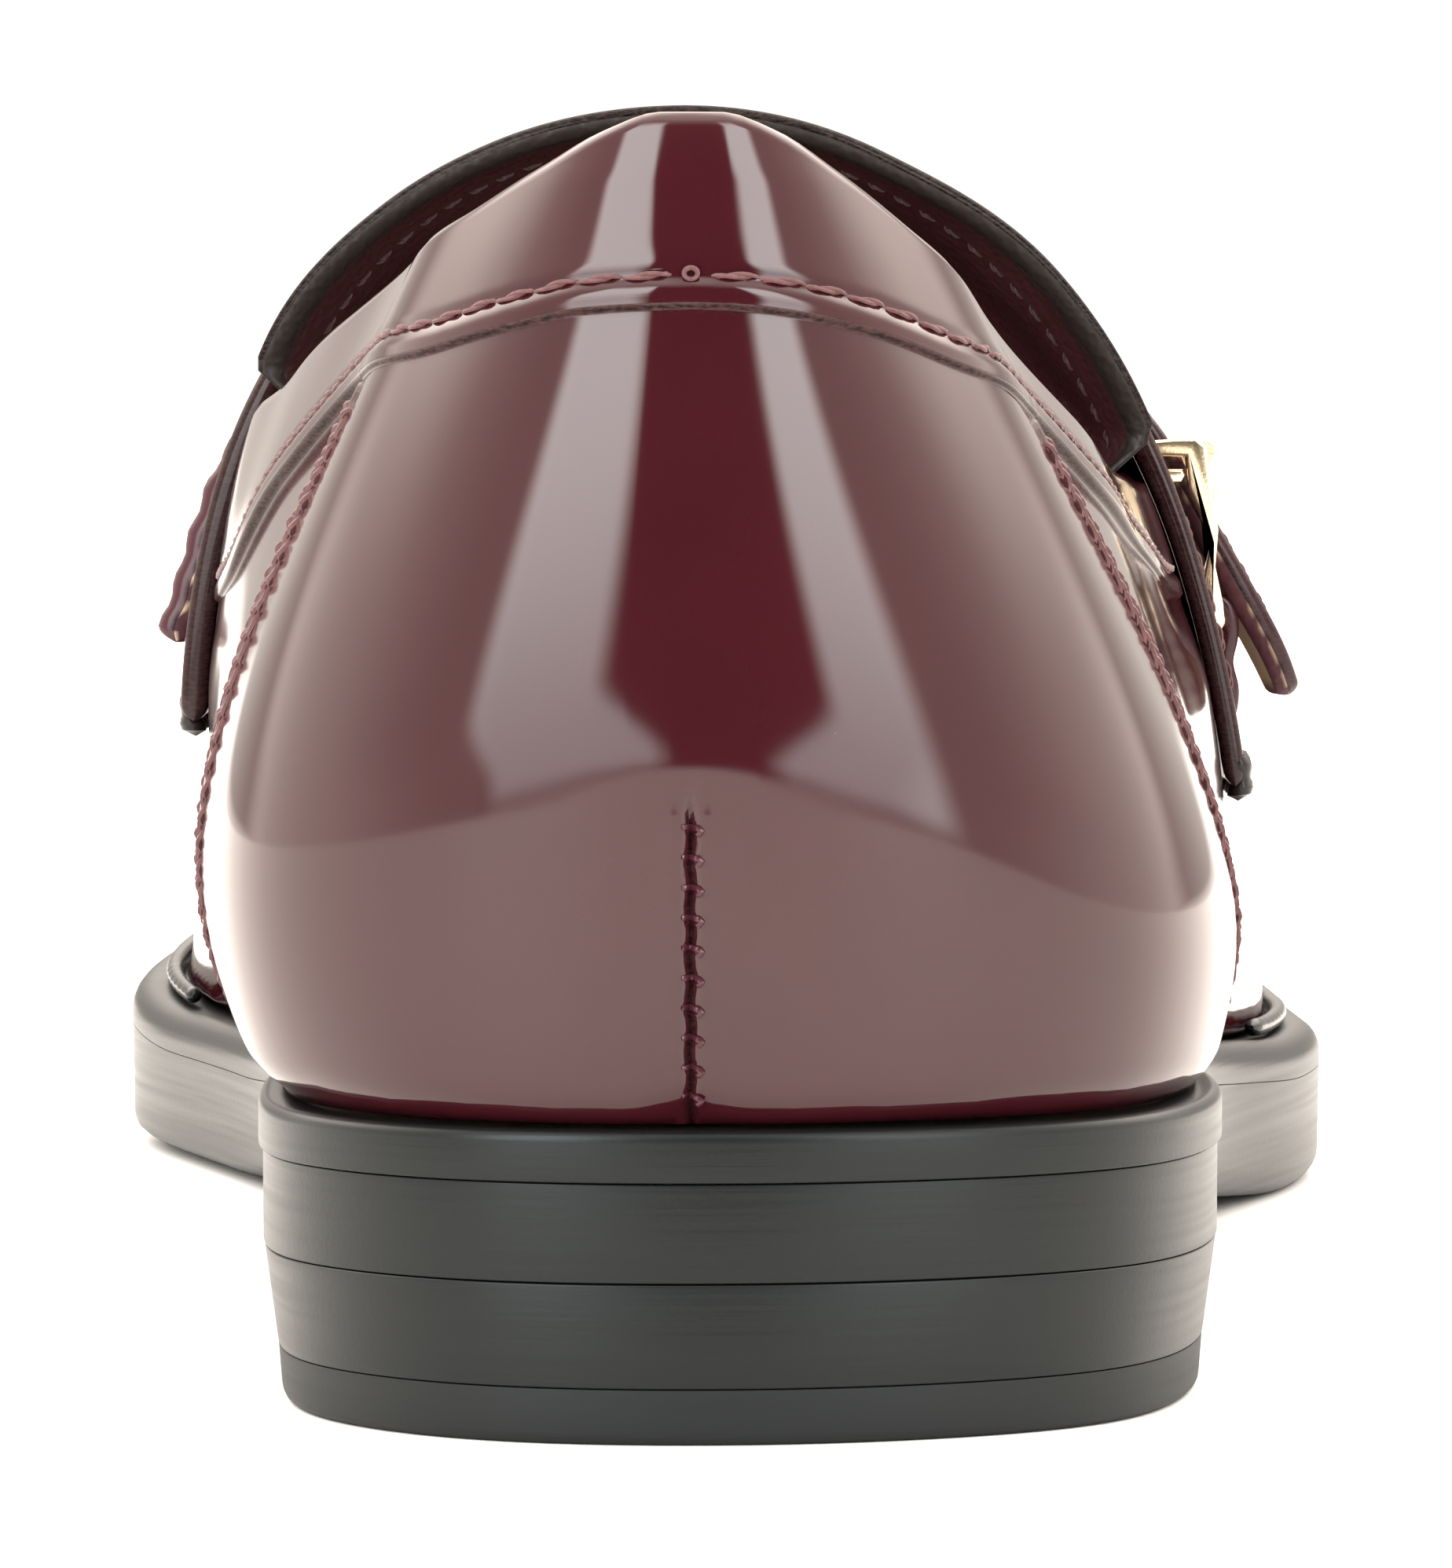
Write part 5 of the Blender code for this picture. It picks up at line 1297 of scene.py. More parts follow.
def make_outsole(looks):
    """The outsole, inked at its sides and of bare rubber underneath."""
    mesh_data = started()
    under = Face(sole_under, towards_ball(0.32, 0.15), towards_ball(0.12, 2.2))
    joint = towards_ball(JOINT, 0.01)
    top = lambda s, x: sole_top(s) - WELT_THICK - joint(s)
    over = Face(top, towards_ball(0.3, 0.02), towards_ball(0.12, 0.07))
    rows = plate(sole_columns(44, 140, 56), under, over, BALL_BEVEL, tread=True)
    grid(mesh_data, rows[: FACE_ROWS + 2], 1)
    grid(mesh_data, rows[FACE_ROWS + 1 :], 0)
    return finish("shoe_outsole", mesh_data, looks, "black_rubber", ("outsole",), smooth=SOLE_SMOOTH)


CUP_DEPTH = 0.9


def insole_inset(s):
    """How far the footbed stands in from the sole's edge."""
    return ledge(s) + LEATHER + FIT + INSOLE_GAP


def make_insole(look):
    """The footbed: it rises a little towards its rim, so that the foot lies in it."""
    mesh_data = started()
    u = sole_columns(30, 60, 40)
    under = Face(off_top(FIT), insole_inset, fixed(0.3))
    over = Face(off_top(FIT + INSOLE_THICK), insole_inset, fixed(0.8))
    points = plate(u, under, over)
    count = 2 * (FACE_ROWS + EDGE_ROWS)
    cup = np.zeros(count)
    cup[-FACE_ROWS:] = np.linspace(1, 0, FACE_ROWS) ** 2
    on_top = (np.arange(count) >= count - FACE_ROWS)[:, None]
    points[..., 2] -= CUP_DEPTH * (1 - cup[:, None]) * on_top * np.linspace(0, 1, count)[:, None] ** 3
    grid(mesh_data, points)
    return finish("shoe_insole", mesh_data, [look], "footbed_leather", ("insole",), smooth=SOLE_SMOOTH)


# Where the bead along the welt starts, on the inner and on the outer side; its radius and the share of it
# that shows, its distance from the wall and over the welt, and the fine notches round it.
BEAD_STARTS = (199.0, 163.0)
BEAD_RADIUS, BEAD_SHARE, BEAD_GAP, BEAD_IN, BEAD_LIFT = 0.85, 0.85, 0.5, 0.2, 0.1
NOTCH_DEPTH, NOTCH_PITCH = 0.02, 2.4


# A heel layer's sides stand in by side_low at its foot and side_high at its top; its back by HEEL_BACK.
Layer = namedtuple("Layer", "side_low side_high soften soften_top")
BLOCK, TOP_PIECE = Layer(1.25, 0.4, 0.12, 0.12), Layer(1.5, 1.3, 0.8, 0.1)
HEEL_BACK, BREAST_TURN = 0.15, 3.0


def heel_outline(inset_side, inset_back, breast):
    """The heel's outline in plan, from the inner breast corner round the back to the outer one."""
    side = station(HEEL_BREAST - BREAST_TURN, 1)
    half = steps_of(((0.0, HEEL_FAN, 44), (HEEL_FAN, side, 22), (side, side + BREAST_TURN, 5)))
    u = np.concatenate([-half[:0:-1], half])
    edge = LAST.outline(u)
    out = unit(edge - LAST.crown(u)[:, :2])
    plan = edge - out * (inset_side, inset_back)
    plan[:, 1] = np.minimum(plan[:, 1], breast)
    return plan


def heel_layer(mesh_data, low, high, layer):
    """A layer of the heel. It narrows downwards at the sides and stands upright at the back."""
    loops = []
    turns = np.linspace(0, math.pi / 2, 6)
    levels = []
    for a in turns:
        levels.append((low + layer.soften * (1 - math.cos(a)), layer.soften * (1 - math.sin(a)), 0))
    for a in turns[::-1]:
        levels.append((high - layer.soften_top * (1 - math.cos(a)), layer.soften_top * (1 - math.sin(a)), 1))
    for z, softened, part in levels:
        inset = layer.side_low + (layer.side_high - layer.side_low) * part
        plan = heel_outline(inset + softened, HEEL_BACK + softened, HEEL_BREAST - softened)
        loops.append(np.column_stack([plan, np.full(len(plan), z)]))
    rows = np.array([np.vstack([loop, loop[:1]]) for loop in loops])
    centre = np.array((MIDDLE_X, 32.0, 0.0))
    for index, row in ((0, rows[0]), (len(rows), rows[-1])):
        for share in (0.97, 0.0):
            inner = centre * (1, 1, 0) + (row - centre) * (share, share, 1)
            rows = np.concatenate([inner[None], rows]) if index == 0 else np.concatenate([rows, inner[None]])
    grid(mesh_data, rows)


def make_heel(edge_look, rubber):
    block = started()
    heel_layer(block, TOP_PIECE_THICK + JOINT, float(sole_under(0.0)) - JOINT, BLOCK)
    top_piece = started()
    heel_layer(top_piece, 0.0, TOP_PIECE_THICK, TOP_PIECE)
    finish("shoe_heel_block", block, [edge_look], "black_welt", ("heel_block",), smooth=SOLE_SMOOTH)
    finish(
        "shoe_heel_top_piece", top_piece, [rubber], "black_rubber", ("heel_top_piece",), smooth=SOLE_SMOOTH
    )


def make_bead(look):
    """A round bead on the welt along the upper, from one side of the waist round the toe to the other."""
    halves = [steps_of(((station(s, 1), TOE_START, 60), (TOE_START, ROUND, 60))) for s in BEAD_STARTS]
    u = np.concatenate([halves[1], 2 * ROUND - halves[0][-2::-1]])
    u = np.where(u > ROUND, u - 2 * ROUND, u)
    foot = LAST.feather(u)
    wall_line = LAST.at(u, LAST.level(u, foot[:, 2] + BEAD_RADIUS))
    ahead = unit(np.gradient(wall_line, axis=0) * (1, 1, 0))
    out = np.column_stack([ahead[:, 1], -ahead[:, 0], np.zeros(len(u))])
    centre = wall_line + out * (BEAD_RADIUS + BEAD_GAP - BEAD_IN)
    centre[:, 2] = sole_top(centre[:, 1]) + BEAD_LIFT + BEAD_RADIUS
    along = run_along(centre)
    from_end = np.minimum(along, along[-1] - along)
    notch = NOTCH_DEPTH * np.sin(2 * math.pi * along / NOTCH_PITCH)
    mesh_data = started()
    radius = BEAD_SHARE * BEAD_RADIUS * swell(from_end + 0.05, 1.2) + notch * ramp(from_end / 3)
    tube(mesh_data, centre, out, np.tile((0, 0, 1.0), (len(u), 1)), radius, sides=14)
    return finish("shoe_bead", mesh_data, [look], "black_welt", ("welt_bead",))


# Materials


def feed(tree, made, inputs):
    """Links or sets a node's inputs, by their names or numbers."""
    for name, value in inputs.items():
        if isinstance(value, bpy.types.NodeSocket):
            tree.links.new(value, made.inputs[name])
        else:
            made.inputs[name].default_value = value
    return made


def node(tree, kind, inputs=None, **settings):
    """Adds a node, with settings as attributes and inputs either linked or set."""
    made = tree.nodes.new(kind)
    for name, value in settings.items():
        setattr(made, name, value)
    return feed(tree, made, inputs or {})


def sums(tree, operation, first, second=0.0, third=0.0):
    """The result of a sum on up to three values."""
    return node(tree, "ShaderNodeMath", {0: first, 1: second, 2: third}, operation=operation).outputs[0]


def mixed(tree, factor, first, second):
    """A colour between two others."""
    return node(tree, "ShaderNodeMix", {0: factor, 6: first, 7: second}, data_type="RGBA").outputs[2]


def faded(tree, value, start, end):
    """A smooth step of a value from 0 at start to 1 at end, where end may be the lower of the two."""
    low, high, first, last = (start, end, 0.0, 1.0) if start < end else (end, start, 1.0, 0.0)
    made = node(
        tree, "ShaderNodeMapRange",
        {"Value": value, "From Min": low, "From Max": high, "To Min": first, "To Max": last},
        interpolation_type="SMOOTHSTEP",
    )
    return made.outputs[0]


def noise(tree, spot, scale, detail, **more):
    """The value of a noise texture."""
    inputs = {"Vector": spot, "Scale": scale, "Detail": detail, **more}
    return node(tree, "ShaderNodeTexNoise", inputs).outputs[0]


def stretched(tree, spot, factors):
    """Coordinates multiplied by a factor along each axis."""
    return node(tree, "ShaderNodeVectorMath", {0: spot, 1: factors}, operation="MULTIPLY").outputs[0]


def relief(tree, height, distance):
    """A normal that shows a height as fine relief of a depth in metres."""
    return node(tree, "ShaderNodeBump", {"Height": height, "Distance": distance}).outputs[0]


def vertex_value(tree, name):
    """A value that the mesh's vertices carry."""
    return node(tree, "ShaderNodeAttribute", attribute_name=name).outputs["Fac"]


def shade_group(name, takes, gives):
    """A node group with named inputs and outputs, and its two end nodes."""
    made = bpy.data.node_groups.new(name, "ShaderNodeTree")
    for title, kind, default in takes:
        socket = made.interface.new_socket(title, in_out="INPUT", socket_type=kind)
        if kind != "NodeSocketVector":
            socket.default_value = default
    for title, kind in gives:
        made.interface.new_socket(title, in_out="OUTPUT", socket_type=kind)
    return made, made.nodes.new("NodeGroupInput"), made.nodes.new("NodeGroupOutput")


def grain_group():
    """Fine pores and a slow unevenness, as in smooth calf leather that has been polished."""
    made, start, end = shade_group(
        "calf_grain",
        (("Vector", "NodeSocketVector", None), ("Pores per metre", "NodeSocketFloat", 2600.0),
         ("Pore depth", "NodeSocketFloat", 0.3), ("Cloud", "NodeSocketFloat", 0.5)),
        (("Height", "NodeSocketFloat"), ("Tone", "NodeSocketFloat")),
    )
    spot, scale, depth, unevenness = (start.outputs[k] for k in range(4))
    cells = node(
        made, "ShaderNodeTexVoronoi", {"Vector": spot, "Scale": scale}, feature="SMOOTH_F1",
    )
    feed(made, cells, {"Smoothness": 0.6})
    cloud, fine = noise(made, spot, 90.0, 4.0), noise(made, spot, 900.0, 3.0)
    pores = sums(made, "MULTIPLY", cells.outputs["Distance"], depth)
    slow = sums(made, "MULTIPLY", cloud, unevenness)
    height = sums(made, "ADD", sums(made, "ADD", pores, slow), sums(made, "MULTIPLY", fine, 0.12))
    feed(made, end, {0: height, 1: cloud})
    return made


def fibre_group():
    """The fibrous cut of leather or the drag marks on a trimmed edge: short strands across the light."""
    made, start, end = shade_group(
        "cut_fibres",
        (("Vector", "NodeSocketVector", None), ("Strands per metre", "NodeSocketFloat", 1800.0)),
        (("Height", "NodeSocketFloat"), ("Tone", "NodeSocketFloat")),
    )
    drawn = stretched(made, start.outputs[0], (1.0, 1.0, 3.0))
    strands = noise(made, drawn, start.outputs[1], 5.0, Roughness=0.7)
    feed(made, end, {0: strands, 1: strands})
    return made


def streak_group():
    """Long level streaks, left where a sole's edge was trimmed and polished round the shoe."""
    made, start, end = shade_group(
        "level_streaks",
        (("Vector", "NodeSocketVector", None), ("Fineness", "NodeSocketFloat", 1400.0)),
        (("Value", "NodeSocketFloat"), ("Broad", "NodeSocketFloat")),
    )
    fine = noise(made, stretched(made, start.outputs[0], (0.018, 0.018, 1.0)), start.outputs[1], 3.0)
    broad = noise(made, stretched(made, start.outputs[0], (0.05, 0.05, 1.0)), 330.0, 2.0)
    feed(made, end, {0: fine, 1: broad})
    return made


def dust_group():
    """Sparse pale specks of dust."""
    made, start, end = shade_group(
        "dust",
        (("Vector", "NodeSocketVector", None), ("Specks per metre", "NodeSocketFloat", 160.0),
         ("Speck size", "NodeSocketFloat", 0.02)),
        (("Mask", "NodeSocketFloat"),),
    )
    cells = node(made, "ShaderNodeTexVoronoi", {"Vector": start.outputs[0], "Scale": start.outputs[1]})
    feed(made, end, {0: sums(made, "LESS_THAN", cells.outputs["Distance"], start.outputs[2])})
    return made


GROUPS = {
    "calf_grain": grain_group, "cut_fibres": fibre_group, "level_streaks": streak_group, "dust": dust_group,
}


def placed(tree, name, inputs):
    """One of the shared groups in a material's tree, made the first time it is asked for."""
    made = tree.nodes.new("ShaderNodeGroup")
    made.node_tree = bpy.data.node_groups.get(name) or GROUPS[name]()
    return feed(tree, made, inputs)


def new_look(name):
    """A new material with its tree, its shader and the coordinates on the piece."""
    made = bpy.data.materials.new(name)
    made.use_nodes = True
    tree = made.node_tree
    spot = node(tree, "ShaderNodeTexCoord").outputs["Object"]
    return made, tree, tree.nodes["Principled BSDF"], spot


def rgba(colour, factor=1.0):
    """A colour made lighter or darker by a factor."""
    return (*(channel * factor for channel in colour), 1.0)


def leather_look(name, colour, roughness, coat, coat_roughness, edge_colour, pore_depth=0.3, bump=0.000016):
    """Polished calf: a dark body under a clear finish, with pores, fine wrinkles and painted or raw edges."""
    made, tree, shader, spot = new_look(name)
    grain = placed(tree, "calf_grain", {"Vector": spot, "Pore depth": pore_depth})
    fibres = placed(tree, "cut_fibres", {"Vector": spot})
    raw, wrinkles = vertex_value(tree, "raw_edge"), vertex_value(tree, "wrinkles")
    body = mixed(tree, grain.outputs["Tone"], rgba(colour, 0.82), rgba(colour, 1.18))
    tone = faded(tree, fibres.outputs["Tone"], 0.36, 0.64)
    edge = mixed(tree, tone, rgba(edge_colour, 0.3), rgba(edge_colour, 2.4))
    dust = placed(tree, "dust", {"Vector": spot})
    body = mixed(tree, sums(tree, "MULTIPLY", dust.outputs["Mask"], 0.25), body, (0.5, 0.46, 0.44, 1.0))
    uneven = sums(tree, "MULTIPLY_ADD", grain.outputs["Tone"], 0.08, roughness - 0.04)
    folds = noise(tree, stretched(tree, spot, (110.0, 110.0, 1100.0)), 1.0, 2.0)
    height = sums(tree, "MULTIPLY", sums(tree, "MULTIPLY", folds, wrinkles), 1.6)
    height = sums(tree, "ADD", height, grain.outputs["Height"])
    torn = sums(tree, "MULTIPLY", fibres.outputs["Height"], raw)
    height = sums(tree, "ADD", height, sums(tree, "MULTIPLY", torn, 5.0))
    feed(tree, shader, {
        "Base Color": mixed(tree, raw, body, edge),
        "Roughness": sums(tree, "MULTIPLY_ADD", raw, 0.4, uneven),
        "Specular IOR Level": 0.0,
        "Coat Weight": sums(tree, "MULTIPLY_ADD", raw, -coat * 0.85, coat),
        "Coat Roughness": coat_roughness,
        "Coat IOR": 1.5,
        "Normal": relief(tree, height, bump),
    })
    return made


def plain_leather_look(name, colour, roughness, edge_colour):
    """Soft leather without a finish, with painted edges."""
    made, tree, shader, spot = new_look(name)
    grain = placed(tree, "calf_grain", {"Vector": spot, "Pores per metre": 1500.0, "Pore depth": 0.8})
    body = mixed(tree, grain.outputs["Tone"], rgba(colour, 0.75), rgba(colour, 1.2))
    feed(tree, shader, {
        "Base Color": mixed(tree, vertex_value(tree, "raw_edge"), body, rgba(edge_colour)),
        "Roughness": sums(tree, "MULTIPLY_ADD", grain.outputs["Tone"], 0.15, roughness - 0.08),
        "Specular IOR Level": 0.35,
        "Normal": relief(tree, grain.outputs["Height"], 0.00012),
    })
    return made


def thread_look(name, colour):
    """Sewing thread of twisted fibres."""
    made, tree, shader, spot = new_look(name)
    strands = noise(tree, spot, 2600.0, 4.0)
    feed(tree, shader, {
        "Base Color": mixed(tree, strands, rgba(colour, 0.45), rgba(colour, 1.45)),
        "Roughness": 0.62,
        "Specular IOR Level": 0.25,
        "Sheen Weight": 0.15,
        "Normal": relief(tree, strands, 0.00008),
    })
    return made


def sole_look(name, colour, roughness, fineness):
    """A trimmed and inked sole edge or moulded rubber, with level streaks round the shoe."""
    made, tree, shader, spot = new_look(name)
    streaks = placed(tree, "level_streaks", {"Vector": spot, "Fineness": fineness})
    grain = placed(tree, "calf_grain", {"Vector": spot, "Pore depth": 0.2})
    value = streaks.outputs["Value"]
    tone = mixed(tree, value, rgba(colour, 0.7), rgba(colour, 1.3))
    height = sums(tree, "ADD", sums(tree, "MULTIPLY", value, 1.2), grain.outputs["Height"])
    feed(tree, shader, {
        "Base Color": mixed(
            tree, sums(tree, "MULTIPLY", streaks.outputs["Broad"], 0.25), tone, rgba(colour, 1.7)
        ),
        "Roughness": sums(tree, "MULTIPLY_ADD", value, 0.16, roughness - 0.08),
        "Specular IOR Level": 0.27,
        "Specular Tint": (0.9, 0.98, 1.0, 1.0),
        "Normal": relief(tree, height, 0.000028),
    })
    return made


def metal_look(name, colour):
    """Polished plating with a faint haze and brush lines."""
    made, tree, shader, spot = new_look(name)
    haze = noise(tree, spot, 420.0, 5.0)
    lines = noise(tree, stretched(tree, spot, (1.0, 0.06, 1.0)), 5200.0, 2.0)
    feed(tree, shader, {
        "Base Color": mixed(tree, haze, rgba(colour, 0.86), rgba(colour, 1.12)),
        "Metallic": 1.0,
        "Roughness": sums(tree, "MULTIPLY_ADD", haze, 0.14, 0.16),
        "Normal": relief(tree, lines, 0.00001),
    })
    return made


def floor_look(colour):
    """A matt, nearly even floor."""
    made, tree, shader, spot = new_look("pale_floor")
    cloud = noise(tree, spot, 3.0, 2.0)
    feed(tree, shader, {
        "Base Color": mixed(tree, cloud, rgba(colour, 0.985), rgba(colour, 1.0)), "Roughness": 0.6,
    })
    return made


# The stage

CAMERA_SPOT, CAMERA_TILT = (0.00095, -0.67065, 0.06685), 2.735
LENS, SENSOR = 198.42, 36.0


def make_floor(colour, size):
    mesh_data = started()
    bmesh.ops.create_grid(mesh_data, x_segments=4, y_segments=4, size=size / 2)
    mesh = bpy.data.meshes.new("pale_floor")
    mesh_data.to_mesh(mesh)
    mesh_data.free()
    mesh.materials.append(floor_look(colour))
    floor = bpy.data.objects.new("pale_floor", mesh)
    bpy.context.scene.collection.objects.link(floor)
    return floor


def make_camera():
    """The camera behind the heel, tipped down a little."""
    lens = bpy.data.cameras.new("camera")
    lens.sensor_fit = "VERTICAL"
    lens.sensor_width = lens.sensor_height = SENSOR
    lens.lens = LENS
    lens.clip_start, lens.clip_end = 0.01, 50.0
    camera = bpy.data.objects.new("camera", lens)
    camera.location = CAMERA_SPOT
    camera.rotation_euler = (math.radians(90 - CAMERA_TILT), 0, 0)
    bpy.context.scene.collection.objects.link(camera)
    bpy.context.scene.camera = camera
    return camera


# A tall softbox: the turns where its left and right sides fade in and out, in degrees from the heel side with
# the outer side positive, and how far each side leans towards the middle at its foot.
Box = namedtuple("Box", "left lean_left right lean_right")
BOXES = (Box((-56, -49), 10, (-23, -17), 15), Box((28, 34), -14, (48, 56), 0))
BOX_FOOT, BOX_TOP, BOX_DIM = (-1, 3.5), (50, 66), 0.46
# Steps of light from the heel side round to the toe side: each fades in over a range of turns, to a share of
# the light at the sides.
ROUND_STEPS = (((46, 56), 0.66), ((60, 105), 1.15))
# Beyond them lies a dim corner, low down, and then the white far wall. High up the sides are brighter.
CORNER, CORNER_SHARE, TOE_SIDE, SIDE_LIFT = (134, 150), 0.4, (165, 177), 1.6
# The white that the camera sees behind the shoe, and the colours of the walls' and the softboxes' light.
BACKDROP, WALL_WARMTH, BOX_WARMTH = 1.05, (1.0, 0.91, 0.82, 1.0), (1.0, 1.0, 0.985, 1.0)


def make_world(box_light, side_light, back_light, top_light, behind_light):
    """Soft studio light by direction: two tall softboxes at the heel, warm walls and a white far wall."""
    world = bpy.data.worlds.new("studio")
    world.use_nodes = True
    tree = world.node_tree
    background = tree.nodes["Background"]
    way = node(tree, "ShaderNodeSeparateXYZ", {0: node(tree, "ShaderNodeTexCoord").outputs["Generated"]})
    x, y, z = way.outputs
    turn = sums(tree, "ARCTAN2", x, sums(tree, "MULTIPLY", y, -1.0))
    turn = sums(tree, "MULTIPLY", turn, 180 / math.pi)
    rise = sums(tree, "MULTIPLY", sums(tree, "ARCSINE", z), 180 / math.pi)
    away = sums(tree, "ABSOLUTE", turn)
    leaning = faded(tree, rise, 11, 2.5)
    away = sums(tree, "MULTIPLY_ADD", leaning, 8.0, away)
    light, level = behind_light, behind_light
    for span, share in ROUND_STEPS:
        light = sums(tree, "MULTIPLY_ADD", faded(tree, away, *span), share * side_light - level, light)
        level = share * side_light
    low = sums(tree, "MULTIPLY", faded(tree, rise, 32, 14), faded(tree, away, *CORNER))
    light = sums(tree, "MULTIPLY_ADD", low, CORNER_SHARE * side_light - level, light)
    far = sums(tree, "MULTIPLY_ADD", faded(tree, rise, 3, 12), 0.5 * back_light, 0.5 * back_light)
    beyond = sums(tree, "MULTIPLY_ADD", light, -1.0, far)
    light = sums(tree, "MULTIPLY_ADD", faded(tree, away, *TOE_SIDE), beyond, light)
    lift = sums(tree, "MULTIPLY", faded(tree, rise, 16, 34), faded(tree, away, 84, 124))
    light = sums(tree, "MULTIPLY", light, sums(tree, "MULTIPLY_ADD", lift, SIDE_LIFT, 1.0))
    high = faded(tree, rise, 46, 80)
    light = sums(tree, "MULTIPLY_ADD", high, sums(tree, "MULTIPLY_ADD", light, -1.0, top_light), light)
    light = sums(tree, "MAXIMUM", light, sums(tree, "MULTIPLY", faded(tree, rise, 1.5, -0.4), side_light))
    inside = 0.0
    for box in BOXES:
        left = faded(tree, sums(tree, "MULTIPLY_ADD", leaning, -box.lean_left, turn), *box.left)
        right = faded(tree, sums(tree, "MULTIPLY_ADD", leaning, -box.lean_right, turn), *box.right[::-1])
        inside = sums(tree, "MULTIPLY_ADD", left, right, inside)
    inside = sums(tree, "MULTIPLY", inside, faded(tree, rise, *BOX_FOOT))
    inside = sums(tree, "MULTIPLY", inside, faded(tree, rise, *BOX_TOP[::-1]))
    dim = box_light * BOX_DIM
    glow = sums(tree, "MULTIPLY_ADD", faded(tree, rise, 2, 34), box_light * (1 - BOX_DIM), dim)
    light = sums(tree, "MULTIPLY_ADD", inside, glow, light)
    seen = node(tree, "ShaderNodeLightPath").outputs["Is Camera Ray"]
    strength = node(tree, "ShaderNodeMix", {0: seen, 2: light, 3: BACKDROP}, data_type="FLOAT")
    warmth = mixed(tree, inside, WALL_WARMTH, BOX_WARMTH)
    colour = mixed(tree, seen, warmth, (1.0, 1.0, 1.0, 1.0))
    feed(tree, background, {"Strength": strength.outputs[0], "Color": colour})
    bpy.context.scene.world = world
    return world


# Settings


def colour_setting(name, description, default):
    return bpy.props.FloatVectorProperty(
        name=name, description=description, default=default, subtype="COLOR", size=3, min=0.0, max=1.0
    )


def length_setting(name, description, millimetres):
    return bpy.props.FloatProperty(
        name=name, description=description, default=millimetres * MM, min=0.0, unit="LENGTH",
        subtype="DISTANCE", precision=5,
    )


def share_setting(name, description, default):
    return bpy.props.FloatProperty(
        name=name, description=description, default=default, min=0.0, max=1.0, subtype="FACTOR"
    )


def light_setting(name, description, default):
    return bpy.props.FloatProperty(name=name, description=description, default=default, min=0.0)


class LeatherSettings(bpy.types.PropertyGroup):
    upper: colour_setting("Upper", "Colour of the polished upper leather", (0.030, 0.0041, 0.0067))
    lining: colour_setting("Lining", "Colour of the soft lining", (0.030, 0.0062, 0.0085))
    strap: colour_setting("Strap", "Colour of the strap's face", (0.050, 0.012, 0.019))
    flesh: colour_setting("Flesh side", "Colour of the strap's bare underside", (0.54, 0.41, 0.26))
    # The cut edge colour also darkens the strap's holes, as painted shade for their hollows.
    edge: colour_setting("Cut edge", "Colour of a painted edge", (0.012, 0.0085, 0.008))
    raw: colour_setting("Raw edge", "Colour of a bare cut edge", (0.024, 0.012, 0.0115))
    footbed: colour_setting("Footbed", "Colour of the insole leather", (0.20, 0.12, 0.07))
    roughness: share_setting("Roughness", "Roughness of the leather under its finish", 0.34)
    finish: share_setting("Finish", "Strength of the clear polished finish", 1.0)
    haze: share_setting("Haze", "Roughness of the clear polished finish", 0.07)


class SeamSettings(bpy.types.PropertyGroup):
    thread_colour: colour_setting("Thread", "Colour of the sewing thread", (0.115, 0.050, 0.052))
    dark_thread: colour_setting("Dark thread", "Thread of strap, tongue and vamp", (0.040, 0.017, 0.0185))
    thread_radius: length_setting("Thread radius", "Half the thickness of the sewing thread", 0.25)


class SoleSettings(bpy.types.PropertyGroup):
    edge: colour_setting("Edge", "Colour of the inked sole and heel edges", (0.0044, 0.0051, 0.0053))
    rubber: colour_setting("Rubber", "Colour of the outsole and the top piece", (0.0068, 0.0075, 0.0077))
    roughness: share_setting("Roughness", "Roughness of the inked edges", 0.34)
    fineness: light_setting("Streaks", "Level streaks per metre of height on the edges", 1500.0)


class BuckleSettings(bpy.types.PropertyGroup):
    metal: colour_setting("Metal", "Colour of the pale gold plating", (0.86, 0.72, 0.50))


class StageSettings(bpy.types.PropertyGroup):
    floor: colour_setting("Floor", "Colour of the floor", (0.86, 0.85, 0.83))
    floor_size: bpy.props.FloatProperty(
        name="Floor size", description="Side of the square floor", default=12.0, min=1.0, unit="LENGTH"
    )
    boxes: light_setting("Softboxes", "Brightness of the two tall softboxes", 9.0)
    sides: light_setting("Sides", "Brightness at the shoe's sides", 2.2)
    beyond: light_setting("Beyond", "Brightness beyond the toe", 1.7)
    above: light_setting("Above", "Brightness overhead", 3.0)
    behind: light_setting("Between", "Brightness between the softboxes", 0.08)


# Looks that more than one piece wears


